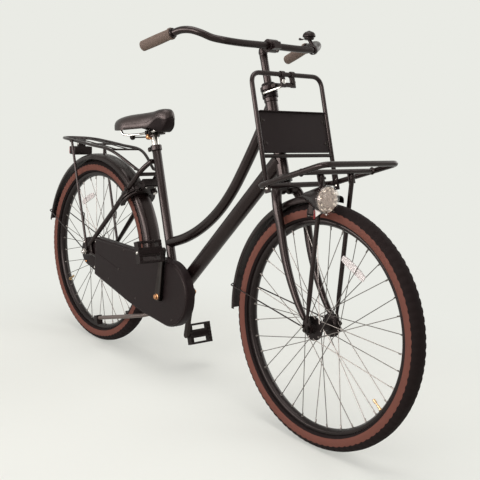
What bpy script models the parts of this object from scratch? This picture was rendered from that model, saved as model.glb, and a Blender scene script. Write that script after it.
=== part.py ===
# Youth transport bicycle, built as separate named pieces
import bpy
import bmesh
import math
import numpy as np

# Driving dimensions, metres
WHEEL_R = 0.302
WHEELBASE = 1.0314
TYRE_W = 0.047
RIM_OUT = 0.2605
RIM_BED = 0.247
RIM_HALF = 0.0125
SPOKES = 36
WHEEL_SEG = 36
SPOKE_R = 0.0011
HUB_FLANGE_R = 0.030
FRONT_OLD = 0.0437
REAR_OLD = 0.0490
FENDER_R = 0.3220
FENDER_T = 0.0014
FENDER_HALF = 0.0285
HEAD_ANGLE = math.radians(70.5)
HEAD_X, HEAD_Z = 0.8361, 0.713
BB_X, BB_Z = 0.4351, 0.2493
SEAT_TOP_X, SEAT_TOP_Z = 0.2952, 0.675
TOP_TUBE_R = 0.0148
DOWN_TUBE_R = 0.0206
SEAT_TUBE_R = 0.0135
HEAD_TUBE_R = 0.0160
STEERER_R = 0.0125
QUILL_R = 0.0100
POST_R = 0.0112
CRANK_L = 0.140
CRANK_Y = 0.0682
CRANK_Y_LEFT = 0.0550
CHAIN_Y = 0.0405
RING_TEETH, COG_TEETH = 32, 16
PITCH = 0.0127
CASE_OUT = 0.0600
GAP = 0.0003
ROUNDNESS = 0.8
BAR_R = 0.0088
GRIP_R = 0.0145
STAND_X, STAND_Z = 0.380, 0.226
LOCK_ANGLE = math.radians(44.0)
LOCK_C = 0.2860
LOCK_R = 0.0504
SADDLE_TILT = math.radians(12)

REAR_END = -(FENDER_R) * math.cos(math.radians(11.0))
SHIFT = -(WHEELBASE + WHEEL_R + REAR_END) / 2

for ob in list(bpy.data.objects):
    bpy.data.objects.remove(ob, do_unlink=True)


# Plain mesh builders, each returns vertices and faces
def unit(v):
    v = np.asarray(v, float)
    return v / np.linalg.norm(v)


def frames(pts, first=None):
    pts = np.asarray(pts, float)
    n = len(pts)
    tan = [unit(pts[min(i + 1, n - 1)] - pts[max(i - 1, 0)]) for i in range(n)]
    ref = np.array(first if first is not None else (0.0, 1.0, 0.0))
    if abs(np.dot(ref, tan[0])) > 0.9:
        ref = np.array((0.0, 0.0, 1.0))
    u = unit(ref - tan[0] * np.dot(ref, tan[0]))
    out = []
    for t in tan:
        u = unit(u - t * np.dot(u, t))
        out.append((u, np.cross(t, u)))
    return out


def outward(verts, faces):
    v = np.asarray(verts, float)
    v = v - v.mean(axis=0)
    vol = sum(np.dot(v[q[0]], np.cross(v[q[i]], v[q[i + 1]])) for q in faces for i in range(1,
            len(q) - 1))
    return (verts, faces) if vol > 0 else (verts, [tuple(reversed(q)) for q in faces])


def facets(n):
    return n if n < 9 else max(8, int(round(n * ROUNDNESS / 2)) * 2)


def sweep(pts, rad, sides=12, flat=1.0, first=None):
    sides = facets(sides)
    pts = np.asarray(pts, float)
    rad = np.broadcast_to(np.asarray(rad, float), (len(pts),))
    fr = frames(pts, first)
    verts = []
    for p, r, (u, v) in zip(pts, rad, fr):
        for k in range(sides):
            a = 2 * math.pi * (k + 0.5) / sides
            verts.append(p + u * r * flat * math.cos(a) + v * r * math.sin(a))
    faces = []
    for i in range(len(pts) - 1):
        for k in range(sides):
            a, b = i * sides + k, i * sides + (k + 1) % sides
            faces.append((a, b, b + sides, a + sides))
    faces.append(tuple(range(sides))[::-1])
    last = (len(pts) - 1) * sides
    faces.append(tuple(range(last, last + sides)))
    return outward(np.array(verts), faces)


def ring_sweep(loops):
    n, m = len(loops), len(loops[0])
    verts = np.concatenate(loops)
    faces = []
    for i in range(n):
        for k in range(m):
            a, b = i * m + k, i * m + (k + 1) % m
            c, d = ((i + 1) % n) * m + (k + 1) % m, ((i + 1) % n) * m + k
            faces.append((a, b, c, d))
    return outward(verts, faces)


def skin(loops):
    n, m = len(loops), len(loops[0])
    verts = np.concatenate(loops)
    faces = []
    for i in range(n - 1):
        for k in range(m):
            a, b = i * m + k, i * m + (k + 1) % m
            faces.append((a, b, b + m, a + m))
    faces.append(tuple(range(m))[::-1])
    faces.append(tuple(range((n - 1) * m, n * m)))
    return outward(verts, faces)


def lathe(profile, origin, axis, seg=20):
    seg = facets(seg)
    origin, axis = np.asarray(origin, float), unit(axis)
    pts = [origin + axis * t for t, r in profile]
    ref = (0.0, 1.0, 0.0) if abs(axis[1]) < 0.9 else (1.0, 0.0, 0.0)
    u = unit(np.array(ref) - axis * np.dot(ref, axis))
    v = np.cross(axis, u)
    loops = []
    for p, (t, r) in zip(pts, profile):
        ang = [2 * math.pi * k / seg for k in range(seg)]
        loops.append(np.array([p + (u * math.cos(a) + v * math.sin(a)) * r for a in ang]))
    return skin(loops)


def tube_ring(profile, origin, axis, seg=20):
    seg = facets(seg)
    origin, axis = np.asarray(origin, float), unit(axis)
    ref = (0.0, 1.0, 0.0) if abs(axis[1]) < 0.9 else (1.0, 0.0, 0.0)
    u = unit(np.array(ref) - axis * np.dot(ref, axis))
    v = np.cross(axis, u)
    loops = []
    for k in range(seg):
        a = 2 * math.pi * k / seg
        d = u * math.cos(a) + v * math.sin(a)
        loops.append(np.array([origin + axis * t + d * r for t, r in profile]))
    return ring_sweep(loops)


def wheel_ring(profile, cx, cz, seg):
    loops = []
    for k in range(seg):
        a = 2 * math.pi * k / seg
        loops.append(np.array([(cx + r * math.cos(a), y, cz + r * math.sin(a)) for y, r in profile]))
    return ring_sweep(loops)


def wheel_arc(profile, cx, cz, a0, a1, seg):
    loops = []
    for k in range(seg + 1):
        a = math.radians(a0 + (a1 - a0) * k / seg)
        loops.append(np.array([(cx + r * math.cos(a), y, cz + r * math.sin(a)) for y, r in profile]))
    return skin(loops)


def plate(outline, y0, y1):
    lo = np.array([(x, y0, z) for x, z in outline])
    hi = np.array([(x, y1, z) for x, z in outline])
    return skin([lo, hi])


def block(center, size, ax=(1, 0, 0), up=(0, 0, 1)):
    c = np.asarray(center, float)
    ax = unit(ax)
    up = unit(np.asarray(up, float) - ax * np.dot(up, ax))
    side = np.cross(up, ax)
    sx, sy, sz = size[0] / 2, size[1] / 2, size[2] / 2
    quad = [(-1, -1), (1, -1), (1, 1), (-1, 1)]
    return skin([np.array([c + ax * s * sx + side * a * sy + up * b * sz for a, b in quad]) for s in (-1,
            1)])


def arc_path(pts, radius, n=5):
    pts = [np.asarray(p, float) for p in pts]
    out = [pts[0]]
    for i in range(1, len(pts) - 1):
        a, b = unit(pts[i - 1] - pts[i]), unit(pts[i + 1] - pts[i])
        ang = math.acos(max(-1.0, min(1.0, float(np.dot(a, b)))))
        d = radius / math.tan(ang / 2)
        p0, p1 = pts[i] + a * d, pts[i] + b * d
        for k in range(n + 1):
            t = k / n
            out.append(p0 * (1 - t) ** 2 + pts[i] * 2 * t * (1 - t) + p1 * t * t)
    out.append(pts[-1])
    return out


def spline(pts, n=5):
    p = [np.asarray(q, float) for q in pts]
    h = [np.linalg.norm(p[i + 1] - p[i]) for i in range(len(p) - 1)]
    slope = [(p[i + 1] - p[i]) / h[i] for i in range(len(h))]
    tan = [slope[0]] + [(slope[i - 1] * h[i] + slope[i] * h[i - 1]) / (h[i] + h[i - 1]) for i in range(1,
            len(h))] + [slope[-1]]
    out = []
    for i in range(len(h)):
        for k in range(n):
            t = k / n
            out.append(p[i] * (1 + 2 * t) * (1 - t) ** 2 + tan[i] * h[i] * t * (1 - t) ** 2
                       + p[i + 1] * t * t * (3 - 2 * t) - tan[i + 1] * h[i] * t * t * (1 - t))
    out.append(p[-1])
    return out


def mirror(raw):
    v, f = raw
    v = np.array(v) * np.array((1.0, -1.0, 1.0))
    return v, [tuple(reversed(q)) for q in f]


def temp(raw, name):
    me = bpy.data.meshes.new(name)
    me.from_pydata([tuple(p) for p in raw[0]], [], [tuple(q) for q in raw[1]])
    me.validate()
    ob = bpy.data.objects.new(name, me)
    bpy.context.scene.collection.objects.link(ob)
    return ob


def boolean(a, b, op):
    oa, ob = temp(a, "tmp_a"), temp(b, "tmp_b")
    mod = oa.modifiers.new("join", "BOOLEAN")
    mod.object = ob
    mod.operation = op
    mod.solver = "EXACT"
    dg = bpy.context.evaluated_depsgraph_get()
    me = bpy.data.meshes.new_from_object(oa.evaluated_get(dg), depsgraph=dg)
    verts = np.array([tuple(v.co) for v in me.vertices])
    faces = [tuple(p.vertices) for p in me.polygons]
    for o in (oa, ob):
        bpy.data.objects.remove(o, do_unlink=True)
    return verts, faces


def fuse(*raws):
    out = raws[0]
    for raw in raws[1:]:
        out = boolean(out, raw, "UNION")
    return out


def cut(a, *tools):
    for raw in tools:
        a = boolean(a, raw, "DIFFERENCE")
    return a


MATERIALS = {
    "black_paint": ((0.016, 0.014, 0.014), 0.45, 0.0),
    "case_paint": ((0.033, 0.027, 0.027), 0.6, 0.0),
    "tyre_black": ((0.018, 0.016, 0.016), 0.85, 0.0),
    "tyre_brown": ((0.20, 0.085, 0.06), 0.8, 0.0),
    "rim_black": ((0.012, 0.012, 0.012), 0.4, 0.0),
    "steel": ((0.55, 0.54, 0.52), 0.3, 1.0),
    "dark_steel": ((0.12, 0.11, 0.10), 0.4, 1.0),
    "grip_brown": ((0.12, 0.085, 0.07), 0.7, 0.0),
    "saddle_black": ((0.045, 0.038, 0.038), 0.55, 0.0),
    "plastic_black": ((0.012, 0.012, 0.012), 0.5, 0.0),
    "clear_lens": ((0.85, 0.82, 0.78), 0.1, 0.0),
    "red_lens": ((0.45, 0.02, 0.015), 0.2, 0.0),
    "reflector": ((0.8, 0.72, 0.70), 0.3, 0.0),
    "chain_steel": ((0.20, 0.17, 0.14), 0.35, 1.0),
}


def material(name, slot):
    mat = bpy.data.materials.new("m_" + name)
    mat.use_nodes = True
    color, rough, metal = MATERIALS[slot]
    bsdf = mat.node_tree.nodes["Principled BSDF"]
    bsdf.inputs["Base Color"].default_value = (*color, 1.0)
    bsdf.inputs["Roughness"].default_value = rough
    bsdf.inputs["Metallic"].default_value = metal
    mat.diffuse_color = (*color, 1.0)
    return mat


def node(name, raw, slot):
    verts, faces = raw
    verts = np.asarray(verts, float) + np.array((SHIFT, 0.0, 0.0))
    me = bpy.data.meshes.new(name)
    me.from_pydata([tuple(p) for p in verts], [], [tuple(q) for q in faces])
    me.validate()
    bm = bmesh.new()
    bm.from_mesh(me)
    bmesh.ops.remove_doubles(bm, verts=bm.verts, dist=0.000001)
    bmesh.ops.dissolve_degenerate(bm, edges=bm.edges, dist=0.000001)
    bmesh.ops.triangulate(bm, faces=bm.faces)
    bmesh.ops.dissolve_degenerate(bm, edges=bm.edges, dist=0.000001)
    if bm.calc_volume(signed=True) < 0:
        bmesh.ops.reverse_faces(bm, faces=bm.faces)
    bm.to_mesh(me)
    bm.free()
    me.polygons.foreach_set("use_smooth", [True] * len(me.polygons))
    me.materials.append(material(name, slot))
    ob = bpy.data.objects.new(name, me)
    bpy.context.scene.collection.objects.link(ob)
    return ob


def rod(a, b, r, sides=12, r2=None):
    return sweep([a, b], [r, r if r2 is None else r2], sides)


def ycyl(x, z, y0, y1, r, seg=20):
    return lathe([(0, r), (y1 - y0, r)], (x, y0, z), (0, 1, 0), seg)


# Steering axis
STEER_UP = np.array((-math.cos(HEAD_ANGLE), 0.0, math.sin(HEAD_ANGLE)))
STEER_FWD = np.array((math.sin(HEAD_ANGLE), 0.0, math.cos(HEAD_ANGLE)))


def on_axis(t, fwd=0.0, y=0.0):
    return np.array((HEAD_X, y, HEAD_Z)) + STEER_UP * t + STEER_FWD * fwd


SEAT_DIR = unit((SEAT_TOP_X - BB_X, 0, SEAT_TOP_Z - BB_Z))


def on_seat(z, back=0.0, y=0.0):
    t = (z - BB_Z) / SEAT_DIR[2]
    side = np.array((-SEAT_DIR[2], 0, SEAT_DIR[0]))
    return np.array((BB_X, y, BB_Z)) + SEAT_DIR * t + side * back


# Wheels
def tyre_profile():
    h = TYRE_W / 2
    bead = RIM_OUT - 0.0037
    outer = [(0.0097, bead), (0.0098, 0.2612), (0.0205, 0.2690), (h, 0.2810), (0.0165, 0.2965)]
    inner = [(0.0066, bead), (0.0190, 0.2800)]
    left = list(outer) + [(0.0, WHEEL_R)] + [(-y, r) for y, r in reversed(outer)]
    right = [(-y, r) for y, r in inner] + [(y, r) for y, r in reversed(inner)]
    return left + right


def rim_profile():
    w = RIM_HALF
    half = [(w - 0.0005, RIM_OUT), (w, 0.2530)]
    mid = [(0.0, RIM_BED)]
    well = [(w - 0.0025, 0.2565), (w - 0.0025, RIM_OUT)]
    return half + mid + [(-y, r) for y, r in reversed(half)] + [(-y, r) for y, r in reversed(well)] + well


def spoke(cx, cz, side, flange_y, a_hub, a_rim, outer):
    off = 0.0016 * (1 if outer else -1)
    p0 = np.array((cx + (HUB_FLANGE_R - 0.004) * math.cos(a_hub), side * (flange_y + off),
                   cz + (HUB_FLANGE_R - 0.004) * math.sin(a_hub)))
    rim_r = RIM_BED - 0.0006
    p1 = np.array((cx + rim_r * math.cos(a_rim), side * 0.0016, cz + rim_r * math.sin(a_rim)))
    return sweep([p0, p1], SPOKE_R, 3)


def hub_with_spokes(cx, cz, flange_y, old, barrel, bore):
    f = flange_y
    prof = [(-old + 0.001, bore + 0.004), (-f - 0.0024, bore + 0.006), (-f - 0.0014, HUB_FLANGE_R),
            (-f + 0.0014, HUB_FLANGE_R), (-f + 0.0034, barrel),
            (f - 0.0034, barrel), (f - 0.0014, HUB_FLANGE_R), (f + 0.0014, HUB_FLANGE_R), (f + 0.0024,
                    bore + 0.006), (old - 0.001, bore + 0.004)]
    prof = prof + [(old - 0.001, bore), (-old + 0.001, bore)]
    shell = tube_ring(prof, (cx, 0, cz), (0, 1, 0), 18)
    spokes = []
    step = 2 * math.pi / SPOKES
    for k in range(SPOKES // 2):
        for side in (-1, 1):
            hub_a = 2 * step * k + (step if side > 0 else 0.0)
            outer = k % 2 == 0
            lead = (6.0 if outer else -6.0) * step
            spokes.append(spoke(cx, cz, side, f, hub_a, hub_a + lead, outer))
    return fuse(shell, *spokes)


def reflector(cx, cz, angle, y):
    d = np.array((math.cos(angle), 0, math.sin(angle)))
    t = np.array((-math.sin(angle), 0, math.cos(angle)))
    c = np.array((cx, y, cz)) + d * 0.185
    return block(c, (0.082, 0.005, 0.022), t, d)


for tag, cx, old, flange, barrel, bore in (("front", WHEELBASE, FRONT_OLD, 0.031, 0.0135, 0.0052),
                                           ("rear", 0.0, REAR_OLD, 0.026, 0.020, 0.0057)):
    node(tag + "_tyre", wheel_ring(tyre_profile(), cx, WHEEL_R, WHEEL_SEG), "tyre_black")
    stem_angle = math.radians(-36 if tag == "front" else 215)
    valve_dir = np.array((math.cos(stem_angle), 0, math.sin(stem_angle)))
    rim = wheel_ring(rim_profile(), cx, WHEEL_R, WHEEL_SEG)
    hubc = np.array((cx, 0, WHEEL_R))
    valve = lathe([(0, 0.0032), (0.012, 0.0032), (0.013, 0.0024), (0.030, 0.0024)],
                  hubc + valve_dir * (RIM_BED + 0.004), -valve_dir, 8)
    node(tag + "_rim", fuse(rim, valve), "rim_black")
    node(tag + "_hub", hub_with_spokes(cx, WHEEL_R, flange, old, barrel, bore), "dark_steel")

node("front_spoke_reflector", reflector(WHEELBASE, WHEEL_R, math.radians(62), -0.0049), "reflector")
node("rear_spoke_reflector", reflector(0.0, WHEEL_R, math.radians(118), -0.0029), "reflector")


def axle_with_nuts(cx, r, outer, nut_y):
    prof = [(-outer, r), (-nut_y, r), (-nut_y, 0.0085), (-nut_y + 0.009, 0.0085), (-nut_y + 0.009, r),
            (nut_y - 0.009, r), (nut_y - 0.009, 0.0085), (nut_y, 0.0085), (nut_y, r), (outer, r)]
    return lathe(prof, (cx, 0, WHEEL_R), (0, 1, 0), 12)


# Fork
def blade(side):
    pts = [on_axis(-0.1000, 0.0, side * 0.006), on_axis(-0.1035, 0.001, side * 0.031),
           (0.8835, side * 0.0415, 0.5950),
           (0.8940, side * 0.0455, 0.5680), (0.9087, side * 0.0459, 0.5300), (0.9207, side * 0.0459,
                   0.4900), (0.9361, side * 0.0459, 0.4480),
           (0.9538, side * 0.0459, 0.4110), (0.9870, side * 0.0459, 0.3557), (1.0140, side * 0.0459,
                   0.3210)]
    rad = [0.0145, 0.0138, 0.0124, 0.0118, 0.0112, 0.0108, 0.0102, 0.0096, 0.0084, 0.0068]
    return sweep(pts, rad, 10)


steerer = lathe([(-0.100, 0.0165), (-0.086, 0.0165), (-0.084, STEERER_R), (0.168, STEERER_R)], on_axis(0),
                STEER_UP, 16)
fork_parts = [steerer]
for s in (-1, 1):
    fork_parts.append(blade(s))
    y0, y1 = (FRONT_OLD + 0.0003, FRONT_OLD + 0.0043) if s > 0 else (-FRONT_OLD - 0.0043,
            -FRONT_OLD - 0.0003)
    fork_parts.append(plate([(WHEELBASE + 0.012 * math.cos(a),
                              WHEEL_R + 0.012 * math.sin(a)) for a in np.radians(np.arange(-150, 91, 30))]
                            + [(1.0190, 0.3330), (1.0110, 0.3230), (1.0095, 0.3060),
                               (1.0120, 0.2990)], y0, y1))
fork = fuse(*fork_parts)
fork = cut(fork, lathe([(-0.060, QUILL_R + 0.0003), (0.180, QUILL_R + 0.0003)], on_axis(0), STEER_UP, 16),
           ycyl(WHEELBASE, WHEEL_R, -0.07, 0.07, 0.0050, 12))
node("fork", fork, "black_paint")
node("front_axle", axle_with_nuts(WHEELBASE, 0.0046, 0.0655, 0.0615), "dark_steel")

# Headset and stem
RACE_R = STEERER_R + 0.0009
node("headset_lower", tube_ring([(-0.0832, 0.0205), (-0.0755, 0.0205), (-0.0755, RACE_R),
                                 (-0.0832, RACE_R)],
                                on_axis(0), STEER_UP, 16), "dark_steel")
node("headset_upper", tube_ring([(0.1333, STEERER_R + 0.0003), (0.1333, 0.0200), (0.146, 0.0205),
                                 (0.148, 0.0185), (0.170, 0.0180), (0.172, STEERER_R + 0.0003)],
                                on_axis(0), STEER_UP, 16), "dark_steel")

CLAMP = np.array((0.7818, 0.0, 0.9676))
quill = lathe([(0.020, QUILL_R), (0.252, QUILL_R)], on_axis(0), STEER_UP, 16)
neck = sweep([on_axis(0.2400), on_axis(0.2560, 0.002), on_axis(0.2660, 0.012), CLAMP],
             [0.0110, 0.0125, 0.0125, 0.0115], 12)
barrel = ycyl(CLAMP[0], CLAMP[2], -0.0145, 0.0145, 0.0155, 18)
ear = block(CLAMP + STEER_FWD * 0.0165 - STEER_UP * 0.004, (0.014, 0.022, 0.013), STEER_FWD, STEER_UP)
bolt = lathe([(0, 0.0040), (0.022, 0.0040)], CLAMP + STEER_FWD * 0.0185 - STEER_UP * 0.015, STEER_UP, 10)
stem = fuse(quill, neck, barrel, ear, bolt)
stem = cut(stem, ycyl(CLAMP[0], CLAMP[2], -0.05, 0.05, BAR_R + 0.0013, 16))
node("stem", stem, "black_paint")


# Handlebar
def bar_half(s):
    return [(CLAMP[0] + 0.001, s * 0.120, CLAMP[2]), (0.7800, s * 0.150, 0.9692),
            (0.7650, s * 0.176, 0.9735), (0.7477, s * 0.200, 0.9834),
            (0.7300, s * 0.2130, 0.9885), (0.7060, s * 0.2220, 0.9885), (0.6740, s * 0.2290,
                    0.9800), (0.6480, s * 0.2345, 0.9715)]


def grip_line(s):
    return np.array((0.6740, s * 0.2290, 0.9800)), np.array((0.5786, s * 0.2490, 0.9480))


right = bar_half(-1)
left = bar_half(1)
bar_pts = spline(list(reversed(right)) + [(CLAMP[0], -0.03, CLAMP[2]), (CLAMP[0], 0.03, CLAMP[2])] + left,
                 2)
ends = [np.array(bar_pts[0]) + (grip_line(-1)[1] - grip_line(-1)[0]) * 0.62]
ends2 = [np.array(bar_pts[-1]) + (grip_line(1)[1] - grip_line(1)[0]) * 0.62]
bar = sweep(ends + bar_pts + ends2, BAR_R, 10)
node("handlebar", bar, "black_paint")
for tag, s in (("right", -1), ("left", 1)):
    a, b = grip_line(s)
    d = unit(b - a)
    span = np.linalg.norm(b - a)
    prof = [(0.0, BAR_R + 0.0006), (0.0, 0.0145), (0.006, 0.0148), (0.008, 0.0128),
            (span * 0.5, GRIP_R - 0.0008), (span - 0.006, GRIP_R), (span, 0.0110),
            (span, 0.0004), (span - 0.003, 0.0004), (span - 0.003, BAR_R + 0.0006)]
    node("grip_" + tag, tube_ring(prof, a, d, 14), "grip_brown")

# Bell
BELL = np.array((0.7660, 0.146, 1.0010))
BELL_FOOT = np.array((0.7800, 0.150, 0.9692))
band = tube_ring([(-0.005, BAR_R + 0.0014), (-0.005, 0.0124), (0.005, 0.0124), (0.005, BAR_R + 0.0014)],
                 BELL_FOOT, unit((-0.301, 0.949, 0.100)), 12)
stalk = sweep([BELL_FOOT + np.array((-0.0020, -0.001, 0.0108)), BELL_FOOT + np.array((-0.0080, -0.003,
        0.0200)), BELL - np.array((0, 0, 0.004))], [0.0050, 0.0048, 0.0045], 8)
base = lathe([(-0.0065, 0.0100), (-0.0035, 0.0135), (-0.0015, 0.0135), (-0.0005, 0.0040), (0.0, 0.0040)],
             BELL, (-0.1, 0, 1), 14)
dome = lathe([(0.0, 0.0166), (0.004, 0.0172), (0.009, 0.0160), (0.0135, 0.0110), (0.0158, 0.0045),
              (0.0175, 0.0040)], BELL - unit((-0.1, 0, 1)) * 0.0006, (-0.1, 0, 1), 16)
node("bell", fuse(band, stalk, base, dome), "plastic_black")
lever_pts = [BELL + np.array(q) for q in ((-0.0130, -0.0043, -0.0041), (-0.020, -0.007, -0.0056),
                                          (-0.027, -0.010, -0.0044))]
node("bell_lever", sweep(lever_pts, [0.0014, 0.0018, 0.0032], 8), "plastic_black")

# Main frame
BB = np.array((BB_X, 0.0, BB_Z))
DOWN_T = -0.0245
head = lathe([(-0.0752, HEAD_TUBE_R + 0.0015), (-0.065, HEAD_TUBE_R), (0.123, HEAD_TUBE_R),
              (0.133, HEAD_TUBE_R + 0.0015)], on_axis(0), STEER_UP, 18)
top_pts = [on_axis(0.116), (0.7760, 0, 0.7780), (0.7279, 0, 0.6892), (0.7031, 0, 0.6472),
           (0.6660, 0, 0.5892), (0.6140, 0, 0.5271),
           (0.5253, 0, 0.4566), (0.4614, 0, 0.4225), tuple(on_seat(0.3950))]
top_tube = sweep(spline(top_pts, 2), TOP_TUBE_R, 10)
down_tube = sweep([on_axis(DOWN_T), BB], DOWN_TUBE_R, 14)
seat_tube = sweep([BB, on_seat(SEAT_TOP_Z)], SEAT_TUBE_R, 14)
shell = ycyl(BB_X, BB_Z, -0.0340, 0.0340, 0.0200, 18)
gusset = plate([(on_axis(-0.062, -0.010)[0], on_axis(-0.062, -0.010)[2]),
                (on_axis(-0.01, -0.010)[0], on_axis(-0.01, -0.010)[2]),
                (0.7950, 0.6640), (0.8120, 0.6480)], -0.0030, 0.0030)
main = fuse(head, top_tube, down_tube, seat_tube, shell, gusset)
main = cut(main, lathe([(-0.10, STEERER_R + 0.0012), (0.16, STEERER_R + 0.0012)], on_axis(0), STEER_UP,
                       16),
           lathe([(-0.016, POST_R + 0.0003), (0.145, POST_R + 0.0003)], on_seat(0.575), SEAT_DIR, 14),
           ycyl(BB_X, BB_Z, -0.026, 0.026, 0.0150, 14), ycyl(BB_X, BB_Z, -0.05, 0.05, 0.0083, 14))
node("main_frame", main, "black_paint")

# Rear stays
SEAT_STAY = [(0.0100, 0.0533, 0.3240), (0.1340, 0.0445, 0.4520), (0.2400, 0.0380, 0.5650),
             (0.2740, 0.0300, 0.6040), (0.2960, 0.0150, 0.6300)]
CHAIN_STAY = [(0.0180, 0.0517, 0.3000), (0.1200, 0.0475, 0.2900), (0.2700, 0.0375, 0.2760),
              (0.3700, 0.0298, 0.2650), (0.4400, 0.0240, 0.2570)]


def stay_sweep(line, s, marks, radii, extra=0.0):
    pts = spline([(x, s * y, z) for x, y, z in line], 2)
    return sweep(pts, np.interp(np.linspace(0, 1, len(pts)), marks, radii) + extra, 8)


def seat_stay(s, extra=0.0):
    return stay_sweep(SEAT_STAY, s, [0, 0.15, 1], [0.0062, 0.0076, 0.0076], extra)


def chain_stay(s, extra=0.0):
    return stay_sweep(CHAIN_STAY, s, [0, 0.2, 1], [0.0045, 0.0068, 0.0085], extra)


stay_parts = []
CHAIN_BRIDGE = 0.372
for s in (-1, 1):
    stay_parts += [seat_stay(s), chain_stay(s)]
    y0, y1 = (REAR_OLD + 0.0003, REAR_OLD + 0.0053) if s > 0 else (-REAR_OLD - 0.0053, -REAR_OLD - 0.0003)
    ring = [(0.014 * math.cos(a), WHEEL_R + 0.014 * math.sin(a)) for a in np.radians(np.arange(120, 301,
            30))]
    stay_parts.append(plate(ring + [(0.0300, 0.2930), (0.0340, 0.3040), (0.0220, 0.3380),
                                    (0.0120, 0.3400)], y0, y1))
stay_parts.append(rod((CHAIN_BRIDGE, -0.034, 0.2650), (CHAIN_BRIDGE, 0.034, 0.2650), 0.0070, 10))
stay_parts.append(rod((0.2600, -0.034, 0.5860), (0.2600, 0.034, 0.5860), 0.0058, 10))
stay_parts.append(rod((0.2940, -0.018, 0.6285), (0.2940, 0.018, 0.6285), 0.0075, 10))
stays = fuse(*stay_parts)
stays = cut(stays, ycyl(0.0, WHEEL_R, -0.08, 0.08, 0.0055, 12),
            sweep([on_seat(0.22), on_seat(SEAT_TOP_Z + 0.03)], SEAT_TUBE_R + GAP, 14),
            ycyl(BB_X, BB_Z, -0.05, 0.05, 0.0200 + GAP, 18),
            sweep([on_axis(DOWN_T), BB], DOWN_TUBE_R + GAP, 14))
node("rear_stays", stays, "black_paint")
node("rear_axle", axle_with_nuts(0.0, 0.0051, 0.0745, 0.0700), "dark_steel")

# Seat collar, post and saddle
collar = tube_ring([(-0.008, SEAT_TUBE_R + 0.0008), (-0.008, SEAT_TUBE_R + 0.0033),
                    (0.008, SEAT_TUBE_R + 0.0033), (0.008, SEAT_TUBE_R + 0.0008)],
                   on_seat(0.6690), SEAT_DIR, 16)
lug = block(on_seat(0.6690, 0.0205), (0.010, 0.018, 0.014), (-SEAT_DIR[2], 0, SEAT_DIR[0]), SEAT_DIR)
cbolt = lathe([(-0.014, 0.0035), (0.014, 0.0035)], on_seat(0.6690, 0.0215), (0, 1, 0), 8)
node("seat_collar", fuse(collar, lug, cbolt), "black_paint")
post = lathe([(0, POST_R), (0.132, POST_R), (0.134, 0.0100), (0.150, 0.0100)], on_seat(0.575), SEAT_DIR,
             14)
node("seat_post", post, "black_paint")

TILT_U = np.array((math.cos(SADDLE_TILT), 0, math.sin(SADDLE_TILT)))
TILT_V = np.array((-math.sin(SADDLE_TILT), 0, math.cos(SADDLE_TILT)))
SADDLE_O = np.array((0.2865, 0.0, 0.7195))


def saddle_pt(u, y, v):
    return SADDLE_O + TILT_U * u + TILT_V * v + np.array((0, y, 0))


SADDLE = [(-0.1350, 0.0300, 0.0460, 0.0300), (-0.1270, 0.0560, 0.0520, 0.0230),
          (-0.1130, 0.0700, 0.0565, 0.0165), (-0.0900, 0.0750, 0.0585, 0.0125),
          (-0.0640, 0.0730, 0.0585, 0.0105), (-0.0380, 0.0600, 0.0575, 0.0095), (-0.0080, 0.0420, 0.0565,
                  0.0085), (0.0250, 0.0310, 0.0560, 0.0080),
          (0.0560, 0.0265, 0.0570, 0.0085), (0.0740, 0.0225, 0.0550, 0.0120), (0.0830, 0.0160, 0.0500,
                  0.0190), (0.0870, 0.0080, 0.0430, 0.0270)]


def saddle_loop(u, w, top, bot):
    out = []
    for k in range(13):
        a = math.pi * k / 12
        c, s = math.cos(a), math.sin(a)
        y = w * math.copysign(abs(c) ** 0.72, c)
        out.append(saddle_pt(u, y, bot + (top - bot) * abs(s) ** 0.62))
    inner = bot + (top - bot) * 0.36
    wi = w * 0.86
    for y, v in ((-wi, bot), (-wi * 0.97, inner), (0.0, inner + 0.001), (wi * 0.97, inner), (wi, bot)):
        out.append(saddle_pt(u, y, v))
    return np.array(out)


node("saddle_cover", skin([saddle_loop(*q) for q in SADDLE]), "saddle_black")


def base_loop(u, w, top, bot):
    inner = bot + (top - bot) * 0.36
    wi = w * 0.80
    lo, hi = inner - 0.0052, inner - 0.0004
    return np.array([saddle_pt(u, y, v) for y, v in ((-wi, lo), (wi, lo), (wi, hi), (-wi, hi))])


node("saddle_base", skin([base_loop(*q) for q in SADDLE[1:10]]), "plastic_black")

RAIL_R = 0.0034
rail_half = [(-0.1110, 0.0500, 0.0240), (-0.1030, 0.0480, 0.0020), (-0.0800, 0.0400, -0.0030),
             (-0.0450, 0.0240, -0.0045), (-0.0200, 0.0215, -0.0045),
             (0.0250, 0.0215, -0.0045), (0.0440, 0.0170, -0.0010), (0.0580, 0.0110, 0.0118), (0.0620, 0.0,
                     0.0196)]
rail_pts = [saddle_pt(u, -y, v) for u, y, v in rail_half] + [saddle_pt(u, y, v) for u, y,
        v in reversed(rail_half[:-1])]
node("saddle_rails", sweep(arc_path(rail_pts, 0.010, 1), RAIL_R, 6), "steel")

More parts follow.
